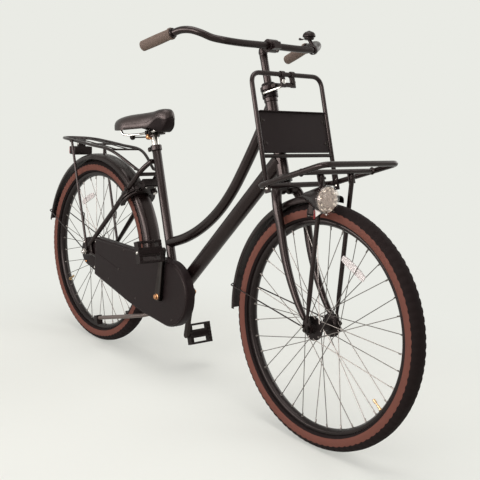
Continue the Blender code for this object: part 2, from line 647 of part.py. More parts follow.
clamp_o = on_seat(0.7072)
ring = lathe([(-0.0072, 0.0150), (-0.0060, 0.0165), (0.0100, 0.0165), (0.0112, 0.0150)], clamp_o,
             SEAT_DIR, 16)
bridge = block(saddle_pt(0.0, 0.0, -0.0050), (0.022, 0.060, 0.0125), TILT_U, TILT_V)
boss = lathe([(0, 0.0050), (0.003, 0.0088), (0.010, 0.0088), (0.013, 0.0040)], (0.2810, -0.0130, 0.7010),
             (-0.97, -0.08, -0.09), 10)
arm = rod((0.2700, -0.0140, 0.6995), (0.2000, -0.0200, 0.6930), 0.0022, 6)
knob = lathe([(0, 0.0030), (0.003, 0.0072), (0.008, 0.0085), (0.013, 0.0070), (0.016, 0.0030)],
             (0.2050, -0.0195, 0.6935), (-1, -0.08, -0.08), 10)
clamp = fuse(bridge, ring, boss, arm, knob)
rail_gap = [rod(saddle_pt(-0.030, s * 0.0215, -0.0045), saddle_pt(0.035, s * 0.0215, -0.0045),
                RAIL_R + 0.0006, 8) for s in (-1, 1)]
post_gap = lathe([(0, POST_R + 0.0003), (0.1343, POST_R + 0.0003), (0.1346, 0.0103), (0.1503, 0.0103)],
                 on_seat(0.575), SEAT_DIR, 14)
node("saddle_clamp", cut(clamp, *rail_gap, post_gap), "steel")

# Crank set
RING_R = PITCH / (2 * math.sin(math.pi / RING_TEETH))
COG_R = PITCH / (2 * math.sin(math.pi / COG_TEETH))


def toothed(cx, cz, teeth, pitch_r, bore):
    loops = []
    for k in range(teeth * 2):
        a = math.pi * k / teeth
        r = pitch_r - (0.0030 if k % 2 else 0.0080)
        c, s = math.cos(a), math.sin(a)
        loops.append(np.array([(cx + q * c, y, cz + q * s) for q,
                               y in ((r, -CHAIN_Y - 0.0012), (r, -CHAIN_Y + 0.0012),
                                     (bore, -CHAIN_Y + 0.0012), (bore, -CHAIN_Y - 0.0012))]))
    return ring_sweep(loops)


node("crank_spindle", ycyl(BB_X, BB_Z, -CRANK_Y + 0.0058, CRANK_Y_LEFT - 0.0058, 0.0080, 16),
     "dark_steel")
ring_raw = toothed(BB_X, BB_Z, RING_TEETH, RING_R, 0.0083)
node("chainring", ring_raw, "chain_steel")
node("rear_sprocket", toothed(0.0, WHEEL_R, COG_TEETH, COG_R, 0.0109), "chain_steel")


def crank(tag, s, angle):
    d = np.array((math.sin(angle), 0, math.cos(angle)))
    n = np.array((d[2], 0, -d[0]))
    c0 = np.array((BB_X, 0, BB_Z))
    c1 = c0 + d * CRANK_L
    out = []
    for k in range(9):
        a = math.pi * k / 8
        out.append(c0 + n * 0.0135 * math.cos(a) - d * 0.0135 * math.sin(a))
    for k in range(7):
        a = math.pi * k / 6
        out.append(c1 - n * 0.0090 * math.cos(a) + d * 0.0090 * math.sin(a))
    cy = CRANK_Y if s < 0 else CRANK_Y_LEFT
    yi, yo = s * (cy - 0.0055), s * (cy + 0.0055)
    arm_raw = plate([(p[0], p[2]) for p in out], min(yi, yo), max(yi, yo))
    cap = lathe([(0, 0.0085), (0.0050, 0.0085), (0.0075, 0.0060)], (BB_X, s * (cy + 0.005), BB_Z),
                (0, s, 0), 16)
    pin = lathe([(0, 0.0046), (0.0870, 0.0046)], (c1[0], s * (cy + 0.004), c1[2]), (0, s, 0), 14)
    node("crank_" + tag, fuse(arm_raw, cap, pin), "dark_steel")
    return c1


def pedal(tag, s, c1, angle):
    d = np.array((math.sin(angle), 0, math.cos(angle)))
    t = np.array((d[2], 0, -d[0]))
    cy = CRANK_Y if s < 0 else CRANK_Y_LEFT
    y0, y1 = cy + 0.0063, cy + 0.0063 + 0.0830
    mid = (c1[0], s * (y0 + y1) / 2, c1[2])
    body = block(mid, (0.064, 0.0830, 0.0205), d, t)
    holes = []
    for q in (-1, 1):
        holes.append(block(np.array(mid) + d * 0.0195 * q, (0.0120, 0.0580, 0.05), d, t))
    holes.append(lathe([(0, 0.0049), (0.12, 0.0049)], (c1[0], s * (cy - 0.01), c1[2]), (0, s, 0), 14))
    node("pedal_" + tag, cut(body, *holes), "plastic_black")


CRANK_A = math.radians(6.0)
PEDAL_A = math.radians(161.0)
pedal("right", -1, crank("right", -1, CRANK_A), PEDAL_A)
pedal("left", 1, crank("left", 1, CRANK_A + math.pi), PEDAL_A)


# Chain
def belt(r_front, r_rear, n1=20, n2=12):
    dx, dz = BB_X, BB_Z - WHEEL_R
    dist = math.hypot(dx, dz)
    base = math.atan2(dz, dx)
    g = math.acos((r_front - r_rear) / dist)
    pts = []
    for k in range(n1 + 1):
        a = base - g + 2 * g * k / n1
        pts.append((BB_X + r_front * math.cos(a), BB_Z + r_front * math.sin(a)))
    for k in range(n2 + 1):
        a = base + g + (2 * math.pi - 2 * g) * k / n2
        pts.append((r_rear * math.cos(a), WHEEL_R + r_rear * math.sin(a)))
    return pts


inner_line = belt(RING_R - 0.0022, COG_R - 0.0022)
outer_line = belt(RING_R + 0.0042, COG_R + 0.0042)
loops = [np.array([(a[0], -CHAIN_Y - 0.0038, a[1]), (b[0], -CHAIN_Y - 0.0038, b[1]),
                   (b[0], -CHAIN_Y + 0.0038, b[1]), (a[0], -CHAIN_Y + 0.0038, a[1])])
         for a, b in zip(inner_line, outer_line)]
node("chain", ring_sweep(loops), "chain_steel")


# Chain case
def case_outline(inset, x_rear, cx=0.4640, cz=0.2625, r=0.0970):
    rr = r - inset
    pts = []
    top = cz + rr
    for k in range(17):
        a = math.radians(90 - 189 * k / 16)
        pts.append((cx + rr * math.cos(a), cz + rr * math.sin(a)))
    pts += [(0.3400, 0.1765 + inset), (0.2662, 0.1895 + inset)]
    x0 = x_rear + inset
    pts += [(x0, 0.2360 + inset), (x0, 0.2950), (x0, top), ((x0 + cx) / 2, top)]
    return pts


def at_y(outline, y):
    return np.array([(x, y, z) for x, z in outline])


CASE_X = 0.0580
layers = [(-CASE_OUT + 0.0015, 0.0092), (-CASE_OUT + 0.0085, 0.0015), (-0.0300, 0.0015), (-0.0300, 0.0),
          (-CASE_OUT + 0.0080, 0.0), (-CASE_OUT, 0.0085)]
case = skin([at_y(case_outline(q, CASE_X), y) for y, q in layers])
case = cut(case, ycyl(BB_X, BB_Z, -0.08, -0.05, 0.0150, 24), block((0.0620, -0.0395, 0.2978), (0.020,
        0.0240, 0.1206)), chain_stay(-1, 0.0006))
node("chain_case", case, "case_paint")


def cap_outline(inset):
    r = 0.0470 - inset
    pts = [(r * math.cos(a), WHEEL_R + r * math.sin(a)) for a in np.radians(np.arange(95, 266, 17))]
    return pts + [(CASE_X - 0.0004 - inset, 0.2400 + inset), (CASE_X - 0.0004 - inset, 0.3560 - inset)]


cap_layers = [(-0.0450, 0.0012), (-0.0300, 0.0012), (-0.0300, 0.0), (-0.0462, 0.0)]
cap = skin([at_y(cap_outline(q), y) for y, q in cap_layers])
cap = cut(cap, chain_stay(-1, 0.0006), seat_stay(-1, 0.0006), ycyl(0.0, WHEEL_R, -0.08, -0.02, 0.0125,
        20),
          block((0.0580, -0.0360, 0.2980), (0.0060, 0.0178, 0.1130)))
node("chain_case_rear_cap", cap, "plastic_black")

# Fenders
def fender_profile():
    h, r = FENDER_HALF, FENDER_R
    outer = [(h, r - 0.0180), (h - 0.0020, r - 0.0085), (h - 0.0125, r - 0.0018), (0.0, r)]
    full = outer + [(-y, q) for y, q in reversed(outer[:-1])]
    inner = []
    for i, (y, q) in enumerate(full):
        a = full[max(i - 1, 0)]
        b = full[min(i + 1, len(full) - 1)]
        t = unit((b[0] - a[0], b[1] - a[1]))
        inner.append((y - t[1] * FENDER_T, q + t[0] * FENDER_T))
    return full, inner


def fender(cx, a0, a1, seg):
    full, inner = fender_profile()
    return wheel_arc(full + inner[::-1], cx, WHEEL_R, a0, a1, seg)


node("rear_fender", fender(0.0, -1.5, 169.0, 26), "black_paint")
node("front_fender", fender(WHEELBASE, 88.0, 184.6, 16), "black_paint")


def fender_stay(cx, angle, r_hub, y_hub, wire, spread):
    a = math.radians(angle)
    d = np.array((math.cos(a), 0, math.sin(a)))
    c = np.array((cx, 0, WHEEL_R))
    far = c + d * (FENDER_R + wire + 0.0004)
    half = [c + d * r_hub + np.array((0, y_hub, 0)), c + d * (r_hub + 0.012) + np.array((0, y_hub, 0)),
            c + d * (FENDER_R - 0.030) + np.array((0, spread,
                                                   0)), c + d * (FENDER_R - 0.006) + np.array((0, spread,
                                                   0)), far + np.array((0, spread * 0.62, 0))]
    other = [p * np.array((1, -1, 1)) for p in reversed(half)]
    return sweep(arc_path(half + other, 0.006, 2), wire, 5)


node("front_fender_stay", fender_stay(WHEELBASE, 172.8, 0.0180, 0.0500, 0.0018, 0.0325), "black_paint")
node("rear_fender_stay", fender_stay(0.0, 163.0, 0.0125, 0.0564, 0.0018, 0.0325), "black_paint")

# Front carrier
PLAT_DIR = unit((math.cos(math.radians(19.5)), 0, math.sin(math.radians(19.5))))
PLAT_UP = np.array((-PLAT_DIR[2], 0, PLAT_DIR[0]))
PLAT_O = np.array((0.9074, 0.0, 0.6326))
PLAT_L, PLAT_HALF, PLAT_TUBE = 0.2200, 0.1270, 0.0068


def plat(s, y, up=0.0):
    return PLAT_O + PLAT_DIR * s + np.array((0, y, 0)) + PLAT_UP * up


def closed_sweep(pts, r, sides):
    pts = [np.asarray(p, float) for p in pts]
    n = len(pts)
    loops = []
    for i in range(n):
        t = unit(pts[(i + 1) % n] - pts[i - 1])
        side = unit(np.cross(PLAT_UP, t))
        turn = 2 * math.pi * (np.arange(sides) + 0.5) / sides
        loops.append(pts[i] + np.outer(np.cos(turn), side) * r + np.outer(np.sin(turn), PLAT_UP) * r)
    return ring_sweep(loops)


def rounded_loop(s0, s1, half, rad, n=4):
    out = []
    for cs, cy, a0 in ((s1 - rad, half - rad, 0), (s0 + rad, half - rad, 90),
                       (s0 + rad, -half + rad, 180), (s1 - rad, -half + rad, 270)):
        for k in range(n + 1):
            a = math.radians(a0 + 90 * k / n)
            out.append(plat(cs + rad * math.cos(a), cy + rad * math.sin(a)))
    return out


loop_raw = closed_sweep(rounded_loop(0.0, PLAT_L, PLAT_HALF, 0.022), PLAT_TUBE, 10)
mid_bar = rod(plat(0.142, -PLAT_HALF), plat(0.142, PLAT_HALF), 0.0060, 10)
node("carrier_platform", fuse(loop_raw, mid_bar), "black_paint")

LEG_Y = 0.0516


def leg_pt(z):
    return np.array((1.0279 + (z - 0.33) * 0.0383, LEG_Y, z))


LEG_AXIS = unit((0.0383, 0, 1))
tab = plate([(WHEELBASE + 0.0105 * math.cos(a),
              WHEEL_R + 0.0105 * math.sin(a)) for a in np.radians(np.arange(-210, 31, 24))]
            + [(WHEELBASE + 0.0022, WHEEL_R + 0.0240), (WHEELBASE - 0.0080, WHEEL_R + 0.0240)],
            0.0484, 0.0516)
leg = sweep([leg_pt(0.6725), leg_pt(0.6600), leg_pt(0.3420), leg_pt(0.3320), leg_pt(0.3180)],
            [0.0050, 0.0058, 0.0058, 0.0036, 0.0033], 10)
ear_raw = block(plat(0.142 - 0.0085, LEG_Y, -0.012), (0.0040, 0.020, 0.030), PLAT_DIR, PLAT_UP)
ear_raw2 = block(plat(0.1373, LEG_Y, -0.0140), (0.0098, 0.016, 0.006), PLAT_DIR, PLAT_UP)
bolt_raw = lathe([(0, 0.0040), (0.0045, 0.0040)], plat(0.142 - 0.0100, LEG_Y, 0.0), -PLAT_DIR, 10)
raw = fuse(leg, tab, ear_raw, ear_raw2, bolt_raw)
raw = cut(raw, ycyl(WHEELBASE, WHEEL_R, -0.07, 0.07, 0.0049, 12), rod(plat(0.142, -PLAT_HALF), plat(0.142,
        PLAT_HALF), 0.0063, 10))
node("carrier_leg_left", raw, "black_paint")
node("carrier_leg_right", mirror(raw), "black_paint")

HOOP_TUBE = 0.0058
HOOP_Y = 0.1182
HOOP_LOW, HOOP_TOP = np.array((0.9236, 0, 0.6480)), np.array((0.8450, 0, 0.8982))
HOOP_DIR = unit(HOOP_TOP - HOOP_LOW)
HOOP_N = np.array((HOOP_DIR[2], 0, -HOOP_DIR[0]))
HOOP_LEN = np.linalg.norm(HOOP_TOP - HOOP_LOW)


def hoop(t, y, n=0.0):
    return HOOP_LOW + HOOP_DIR * t + np.array((0, y, 0)) + HOOP_N * n


hoop_pts = arc_path([hoop(0.0, -HOOP_Y), hoop(HOOP_LEN, -HOOP_Y), hoop(HOOP_LEN, HOOP_Y),
                     hoop(0.0, HOOP_Y)], 0.030, 4)
hoop_parts = [sweep(hoop_pts, HOOP_TUBE, 10), rod(hoop(0.0590, -HOOP_Y), hoop(0.0590, HOOP_Y), 0.0046, 8)]
for s in (-1, 1):
    tab_c = HOOP_LOW + np.array((0.004, s * 0.1176, -0.0080))
    hoop_parts.append(block(tab_c, (0.0180, 0.0032, 0.0420), (HOOP_N[0], 0, HOOP_N[2]), HOOP_DIR))
    hoop_parts.append(lathe([(0, 0.0042), (0.0040, 0.0042)], tab_c - HOOP_DIR * 0.010 - np.array((0,
            s * 0.001, 0)), (0, -s, 0), 8))
    hoop_parts.append(lathe([(0, 0.0042), (0.0040, 0.0042)], tab_c + HOOP_DIR * 0.006 - np.array((0,
            s * 0.001, 0)), (0, -s, 0), 8))
hoop_raw = fuse(*hoop_parts)
hoop_raw = cut(hoop_raw, closed_sweep(rounded_loop(0.0, PLAT_L, PLAT_HALF, 0.022), PLAT_TUBE + 0.0004,
                                      10))
node("carrier_hoop", hoop_raw, "black_paint")

PANEL_T, PANEL_H = 0.1175, 0.1030
PANEL_W = 2 * (HOOP_Y - HOOP_TUBE - GAP)
panel = block(hoop(PANEL_T, 0.0, 0.0), (0.0024, PANEL_W, PANEL_H), HOOP_N, HOOP_DIR)
lips = [block(hoop(PANEL_T + q * (PANEL_H / 2 - 0.0013), 0.0, 0.0030), (0.0070, PANEL_W, 0.0024), HOOP_N,
              HOOP_DIR) for q in (-1, 1)]
node("carrier_panel", fuse(panel, *lips), "black_paint")

BR_T = HOOP_LEN
clip_parts = []
for s in (-1, 1):
    clip_parts.append(tube_ring([(-0.006, HOOP_TUBE + 0.0004), (-0.006, HOOP_TUBE + 0.0034),
                                 (0.006, HOOP_TUBE + 0.0034), (0.006, HOOP_TUBE + 0.0004)],
                                 hoop(BR_T, s * 0.0165), (0, 1, 0), 12))
    clip_parts.append(block(hoop(BR_T - 0.0200, s * 0.0165), (0.0050, 0.012, 0.0240),
                            (HOOP_N[0], 0, HOOP_N[2]), HOOP_DIR))
clip_parts.append(block(hoop(BR_T - 0.0260, 0.0), (0.0044, 0.0400, 0.0100), (HOOP_N[0], 0, HOOP_N[2]),
                        HOOP_DIR))
COLLAR = on_axis(0.158)
stay_a, stay_b = hoop(BR_T - 0.0260, 0.0), COLLAR + STEER_FWD * 0.0270
clip_parts.append(sweep([stay_a, stay_b], 0.0040, 8))
clip_parts.append(block(COLLAR + STEER_FWD * 0.0265, (0.014, 0.020, 0.009), STEER_FWD, STEER_UP))
clip_parts.append(tube_ring([(-0.005, 0.0193), (-0.005, 0.0222), (0.005, 0.0222), (0.005, 0.0193)],
                            COLLAR, STEER_UP, 16))
node("carrier_bracket", fuse(*clip_parts), "black_paint")

# Front lamp
LAMP = np.array((1.0930, -0.0805, 0.6236))
housing = tube_ring([(-0.0760, 0.0002), (-0.0740, 0.0080), (-0.0600, 0.0135), (-0.0250, 0.0278),
                     (-0.0060, 0.0320), (0.0040, 0.0325), (0.0040, 0.0300), (-0.0100, 0.0295),
                     (-0.0250, 0.0253), (-0.0560, 0.0110), (-0.0580, 0.0002)], LAMP, (1, 0, 0), 20)
node("front_lamp_housing", housing, "plastic_black")
node("front_lamp_lens", lathe([(-0.0080, 0.0250), (-0.0060, 0.0290), (0.0030, 0.0297), (0.0060, 0.0280),
                               (0.0095, 0.0200), (0.0112, 0.0080)], LAMP, (1, 0, 0), 20), "clear_lens")
leg_at = leg_pt(0.5900) * np.array((1, -1, 1))
clamp_ring = tube_ring([(-0.008, 0.0067), (-0.008, 0.0095), (0.008, 0.0095), (0.008, 0.0067)], leg_at,
                       LEG_AXIS, 12)
lamp_arm = block((1.0395, -0.0660, 0.5900), (0.012, 0.014, 0.012))
lamp_arm2 = block((1.0400, -0.0755, 0.5940), (0.014, 0.009, 0.0200))
turn_knob = lathe([(0, 0.0040), (0.004, 0.0095), (0.016, 0.0095), (0.018, 0.0070)],
                  (1.0318, -0.0575, 0.5860), (-0.72, -0.69, 0.0), 12)
node("front_lamp_bracket", fuse(clamp_ring, lamp_arm, lamp_arm2, turn_knob), "plastic_black")

# Rear rack
rack_half = [(0.2450, 0.0300, 0.5985), (0.1350, 0.0555, 0.6465), (0.0200, 0.0570, 0.6540),
             (-0.0800, 0.0570, 0.6585), (-0.1500, 0.0540, 0.6605), (-0.1950, 0.0400, 0.6605),
             (-0.2150, 0.0180, 0.6600), (-0.2180, 0.0, 0.6600)]
near = [np.array((x, -y, z)) for x, y, z in rack_half]
near = arc_path(near[:3], 0.012, 3) + near[3:]
far = [p * np.array((1, -1, 1)) for p in reversed(near[:-1])]
rack_line = near + far
rack = [sweep(rack_line, 0.0048, 8)]
for x, z, w in ((0.0, 0.6555, 0.0570), (-0.1480, 0.6604, 0.0540), (0.1150, 0.6482, 0.0560)):
    rack.append(rod((x, -w, z), (x, w, z), 0.0030, 6))
for y in (-0.022, 0.022):
    rack.append(rod((-0.1760, y, 0.6604), (0.1150, y, 0.6484), 0.0020, 6))
rack.append(rod((0.0, 0, 0.6555), (0.0, 0, WHEEL_R + FENDER_R + 0.0004), 0.0035, 6))
rack.append(rod((-0.1760, -0.0455, 0.6604), (-0.1760, 0.0455, 0.6604), 0.0024, 6))
node("rear_rack", fuse(*rack), "black_paint")
for tag, s in (("right", -1), ("left", 1)):
    pts = [(-0.1050, s * 0.0612, 0.6600), (-0.1000, s * 0.0612, 0.6450), (0.0020, s * 0.0598, 0.3340),
           (0.0050, s * 0.0590, 0.3140)]
    leg = sweep(arc_path(pts, 0.010, 2), 0.0042, 8)
    tab = plate([(0.0095 * math.cos(a), WHEEL_R + 0.0095 * math.sin(a)) for a in np.radians(np.arange(170,
            371, 25))] + [(0.0085, 0.3180), (-0.0010, 0.3280)],
                *((-0.0605, -0.0575) if s < 0 else (0.0575, 0.0605)))
    hook = sweep(arc_path([(-0.0290, s * 0.0603, 0.4300), (-0.0110, s * 0.0612, 0.4280),
                           (-0.0120, s * 0.0612, 0.4040)], 0.003, 2), 0.0020, 6)
    raw = fuse(leg, tab, hook)
    raw = cut(raw, ycyl(0.0, WHEEL_R, -0.08, 0.08, 0.0054, 12), rod((-0.1400, s * 0.0544, 0.6604),
            (-0.0800, s * 0.0570, 0.6585), 0.0052, 8))
    node("rack_stay_" + tag, raw, "black_paint")

# Rear lamp
lamp_box = block((-0.1480, 0.0, 0.6215), (0.030, 0.070, 0.027))
lamp_neck = block((-0.1480, 0.0, 0.6455), (0.012, 0.026, 0.0232))
node("rear_lamp_body", fuse(lamp_box, lamp_neck), "plastic_black")
lens_out = [(-0.1634, -0.0340), (-0.1710, -0.0325), (-0.1730, 0.0), (-0.1710, 0.0325), (-0.1634, 0.0340)]
lens_lo = np.array([(x, y, 0.6090) for x, y in lens_out])
lens_hi = np.array([(x, y, 0.6340) for x, y in lens_out])
node("rear_lamp_lens", skin([lens_lo, lens_hi]), "red_lens")

# Ring lock
LR = np.array((math.cos(LOCK_ANGLE), 0, math.sin(LOCK_ANGLE)))
LT = np.array((math.sin(LOCK_ANGLE), 0, -math.cos(LOCK_ANGLE)))
LOCK_O = np.array((0, 0, WHEEL_R)) + LR * LOCK_C


def lock_pt(phi, rho, w):
    return LOCK_O + LR * rho * math.cos(phi) + np.array((0, rho * math.sin(phi), 0)) + LT * w


sec = [(-0.010, 0.0425), (0.010, 0.0425), (0.010, 0.0600), (0.0022, 0.0600), (0.0022, 0.0568),
       (0.0050, 0.0568), (0.0050, 0.0443), (-0.0050, 0.0443),
       (-0.0050, 0.0568), (-0.0022, 0.0568), (-0.0022, 0.0600), (-0.010, 0.0600)]
lock_body = skin([np.array([lock_pt(math.radians(-118 + 236 * k / 16), rho, w) for w,
                            rho in sec]) for k in range(17)])
tabs = [block(LOCK_O + LR * 0.030 + np.array((0, s * 0.0455, 0)) - LT * 0.0175, (0.024, 0.010, 0.016), LT,
              LR) for s in (-1, 1)]
lock_body = fuse(lock_body, *tabs)
node("ring_lock_body", cut(lock_body, seat_stay(-1, 0.0004), seat_stay(1, 0.0004)), "plastic_black")
bar_line = [lock_pt(math.radians(-34 + 150 * k / 12), LOCK_R, 0.0) for k in range(13)]
shackle = sweep(bar_line, 0.0042, 8, first=tuple(LT))
thumb = block(lock_pt(math.radians(-28), 0.0600, 0.0), (0.0036, 0.008, 0.0200), LT,
              unit(lock_pt(math.radians(-28), 1.0, 0.0) - LOCK_O))
thumb2 = block(lock_pt(math.radians(-28), 0.0680, 0.0), (0.0120, 0.010, 0.0080), LT,
               unit(lock_pt(math.radians(-28), 1.0, 0.0) - LOCK_O))
node("ring_lock_shackle", fuse(shackle, thumb, thumb2), "steel")

# Centre stand
leg_pts = [(STAND_X, 0.0218, STAND_Z), (STAND_X - 0.018, 0.0218, STAND_Z - 0.036),
           (STAND_X - 0.036, 0.0226, STAND_Z - 0.056), (0.3160, 0.0390, 0.1590),
           (0.2750, 0.0520, 0.1480), (0.1280, 0.0600, 0.1085), (0.0980, 0.0605, 0.1000)]
stand_parts = [ycyl(STAND_X, STAND_Z, -0.0235, 0.0235, 0.0042, 12)]
for s in (-1, 1):
    line = spline([(x, s * y, z) for x, y, z in leg_pts], 2)
    stand_parts.append(sweep(line, np.interp(np.linspace(0, 1, len(line)), [0, 0.3, 1],
                                             [0.0062, 0.0066, 0.0062]), 9))
    stand_parts.append(block((0.0950, s * 0.0605, 0.0930), (0.0180, 0.0200, 0.0300), (0.96, 0, 0.28)))
node("centre_stand", fuse(*stand_parts), "dark_steel")
hanger = fuse(ycyl(STAND_X, STAND_Z, -0.0145, 0.0145, 0.0095, 18),
              block((STAND_X - 0.004, 0, STAND_Z + 0.0200), (0.024, 0.0290, 0.0360)))
hanger = cut(hanger, ycyl(STAND_X, STAND_Z, -0.05, 0.05, 0.0045, 12), rod((CHAIN_BRIDGE, -0.05, 0.2650),
        (CHAIN_BRIDGE, 0.05, 0.2650), 0.0073, 10))
node("stand_hanger", hanger, "dark_steel")
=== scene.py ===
import bpy
import bmesh
from math import acos, atan2, copysign, cos, exp, pi, radians, sin, tan
import numpy as np
from mathutils import Matrix, Vector


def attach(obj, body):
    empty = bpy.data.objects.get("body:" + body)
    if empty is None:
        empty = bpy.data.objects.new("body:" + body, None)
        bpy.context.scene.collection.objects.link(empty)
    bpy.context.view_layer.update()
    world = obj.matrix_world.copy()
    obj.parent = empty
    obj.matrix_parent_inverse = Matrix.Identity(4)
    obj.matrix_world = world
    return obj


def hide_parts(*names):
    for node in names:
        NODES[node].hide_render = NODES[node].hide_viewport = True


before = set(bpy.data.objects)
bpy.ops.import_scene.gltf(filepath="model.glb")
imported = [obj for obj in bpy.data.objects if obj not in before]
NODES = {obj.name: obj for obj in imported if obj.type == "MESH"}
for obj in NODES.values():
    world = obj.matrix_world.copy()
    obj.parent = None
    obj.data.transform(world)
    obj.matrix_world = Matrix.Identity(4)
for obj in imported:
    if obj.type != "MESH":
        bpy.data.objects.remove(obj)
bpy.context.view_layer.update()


def vec(*c):
    return np.array(c, float)


def unit(v):
    v = np.asarray(v, float)
    return v / np.linalg.norm(v)


def polar(a):
    """The direction at an angle in the plane of the wheels"""
    return vec(cos(a), 0, sin(a))


def mm(*pts):
    """Points given in millimetres, as metres"""
    return [tuple(c / 1000 for c in p) for p in pts]


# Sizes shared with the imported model, metres
WHEEL_R = 0.302
WHEELBASE = 1.0314
FENDER_R = 0.322
FENDER_HALF = 0.0285
SHIFT = -(WHEELBASE + WHEEL_R - FENDER_R * cos(radians(11))) / 2
HEAD_ANGLE = radians(70.5)
HEAD_X, HEAD_Z = 0.8361, 0.713
BB_X, BB_Z = 0.4351, 0.2493
SEAT_TOP_X, SEAT_TOP_Z = 0.2952, 0.675
STEER_UP = vec(-cos(HEAD_ANGLE), 0, sin(HEAD_ANGLE))
STEER_FWD = vec(sin(HEAD_ANGLE), 0, cos(HEAD_ANGLE))
X, Y, Z = vec(1, 0, 0), vec(0, 1, 0), vec(0, 0, 1)
SIDES = (("right", -1), ("left", 1))


SEAT_DIR = unit((SEAT_TOP_X - BB_X, 0, SEAT_TOP_Z - BB_Z))
SEAT_BACK = vec(-SEAT_DIR[2], 0, SEAT_DIR[0])


def on_axis(t, fwd=0, y=0):
    return vec(HEAD_X, y, HEAD_Z) + STEER_UP * t + STEER_FWD * fwd


def on_seat(z, back=0, y=0):
    return vec(BB_X, y, BB_Z) + SEAT_DIR * (z - BB_Z) / SEAT_DIR[2] + SEAT_BACK * back


# Mesh shells, each is vertices, faces and a material index
def outward(verts, faces, m=0):
    v = np.asarray(verts, float)
    c = v - v.mean(axis=0)
    vol = sum(np.dot(c[q[0]], np.cross(c[q[i]], c[q[i + 1]])) for q in faces for i in range(1, len(q) - 1))
    return v, (faces if vol > 0 else [tuple(reversed(q)) for q in faces]), m


def frames(pts):
    """Two directions across a line at each of its points, turned as little as possible"""
    n = len(pts)
    slope = [unit(pts[min(i + 1, n - 1)] - pts[max(i - 1, 0)]) for i in range(n)]
    ref = Y
    if abs(np.dot(ref, slope[0])) > 0.9:
        ref = Z
    u = unit(ref - slope[0] * np.dot(ref, slope[0]))
    out = []
    for t in slope:
        u = unit(u - t * np.dot(u, t))
        out.append((u, np.cross(t, u)))
    return out


def loft(loops, m=0, closed=False, caps=True):
    """A skin over loops of points"""
    n, k = len(loops), len(loops[0])
    verts = np.concatenate(loops)
    faces = []
    for i in range(n if closed else n - 1):
        j = (i + 1) % n
        for q in range(k):
            r = (q + 1) % k
            faces.append((i * k + q, i * k + r, j * k + r, j * k + q))
    if caps and not closed:
        faces.append(tuple(range(k))[::-1])
        faces.append(tuple(range((n - 1) * k, n * k)))
    return outward(verts, faces, m)


def tube(pts, rad, sides=20, m=0, round_ends=0):
    """A tube along points, with one radius or one for each point"""
    pts = [np.asarray(p, float) for p in pts]
    rad = list(np.broadcast_to(np.asarray(rad, float), (len(pts),)))
    if round_ends:
        a, b = unit(pts[1] - pts[0]), unit(pts[-2] - pts[-1])
        e = round_ends
        pts = [pts[0], pts[0] + a * e * 0.3, pts[0] + a * e] + pts[1:-1] + [pts[-1] + b * e, pts[-1] + b * e * 0.3,
            pts[-1]]
        rad = [rad[0] * 0.6, rad[0] * 0.88, rad[0]] + rad[1:-1] + [rad[-1], rad[-1] * 0.88, rad[-1] * 0.6]
    loops = []
    ang = 2 * pi * (np.arange(sides) + 0.5) / sides
    for p, r, (u, v) in zip(pts, rad, frames(pts)):
        loops.append(p + np.outer(np.cos(ang), u) * r + np.outer(np.sin(ang), v) * r)
    return loft(loops, m)


def ring_tube(pts, rad, up, sides=16, m=0):
    pts = [np.asarray(p, float) for p in pts]
    ang = 2 * pi * (np.arange(sides) + 0.5) / sides
    loops = []
    for i in range(len(pts)):
        t = unit(pts[(i + 1) % len(pts)] - pts[i - 1])
        side = unit(np.cross(up, t))
        loops.append(pts[i] + np.outer(np.cos(ang), side) * rad + np.outer(np.sin(ang), up) * rad)
    return loft(loops, m, closed=True)


def turned(profile, origin, axis, seg=40, m=0, hollow=False):
    """A profile of places along the axis and radii, turned around it"""
    origin, axis = np.asarray(origin, float), unit(axis)
    ref = (0, 1, 0) if abs(axis[1]) < 0.9 else (1, 0, 0)
    u = unit(np.array(ref) - axis * np.dot(ref, axis))
    v = np.cross(axis, u)
    ang = 2 * pi * np.arange(seg) / seg
    if hollow:
        return loft(
            [np.array([origin + axis * t + (u * cos(a) + v * sin(a)) * r for t, r in profile]) for a in ang],
            m,
            closed=True)
    return loft(
        [origin + axis * t + np.outer(np.cos(ang), u) * r + np.outer(np.sin(ang), v) * r for t, r in profile],
        m)


def both(half):
    """A profile and its mirror image along the axis"""
    return half + [(-t, r) for t, r in reversed(half)]


def sleeve(profile, origin, axis, seg=40, m=0):
    """A turned ring with a hole, its profile goes once around the wall"""
    return turned(profile, origin, axis, seg, m, hollow=True)


def wheel_loops(profile, cx, angles):
    return [np.array([(cx + r * cos(a), y, WHEEL_R + r * sin(a)) for y, r in profile]) for a in angles]


def plate(outline, y0, y1, m=0):
    return loft([np.array([(x, y0, z) for x, z in outline]), np.array([(x, y1, z) for x, z in outline])], m)


def block(center, size, ax=(1, 0, 0), up=(0, 0, 1), m=0):
    """A box, its size in millimetres along ax, across and along up"""
    c, ax = np.asarray(center, float), unit(ax)
    up = unit(np.asarray(up, float) - ax * np.dot(up, ax))
    side = np.cross(up, ax)
    sx, sy, sz = (q / 2000 for q in size)
    quad = [(-1, -1), (1, -1), (1, 1), (-1, 1)]
    return loft([np.array([c + ax * s * sx + side * a * sy + up * b * sz for a, b in quad]) for s in (-1, 1)], m)


def hermite(a, b, leave, reach, t):
    """A cubic from a to b that leaves and arrives with the given slopes"""
    return (
        a * (1 + 2 * t) * (1 - t) ** 2 + leave * t * (1 - t) ** 2 + b * t * t * (3 - 2 * t) - reach * t * t * (1 - t))


def ease(x):
    """A smooth step from 0 to 1"""
    q = min(1, max(0, x))
    return q * q * (3 - 2 * q)


def arc(cx, r, degrees):
    """Points around a wheel's centre, as x and z"""
    return [(cx + r * cos(a), WHEEL_R + r * sin(a)) for a in np.radians(degrees)]


def on_side(pts, s):
    """Points of one side, mirrored to the right where s is -1"""
    return [vec(x, s * y, z) for x, y, z in pts]


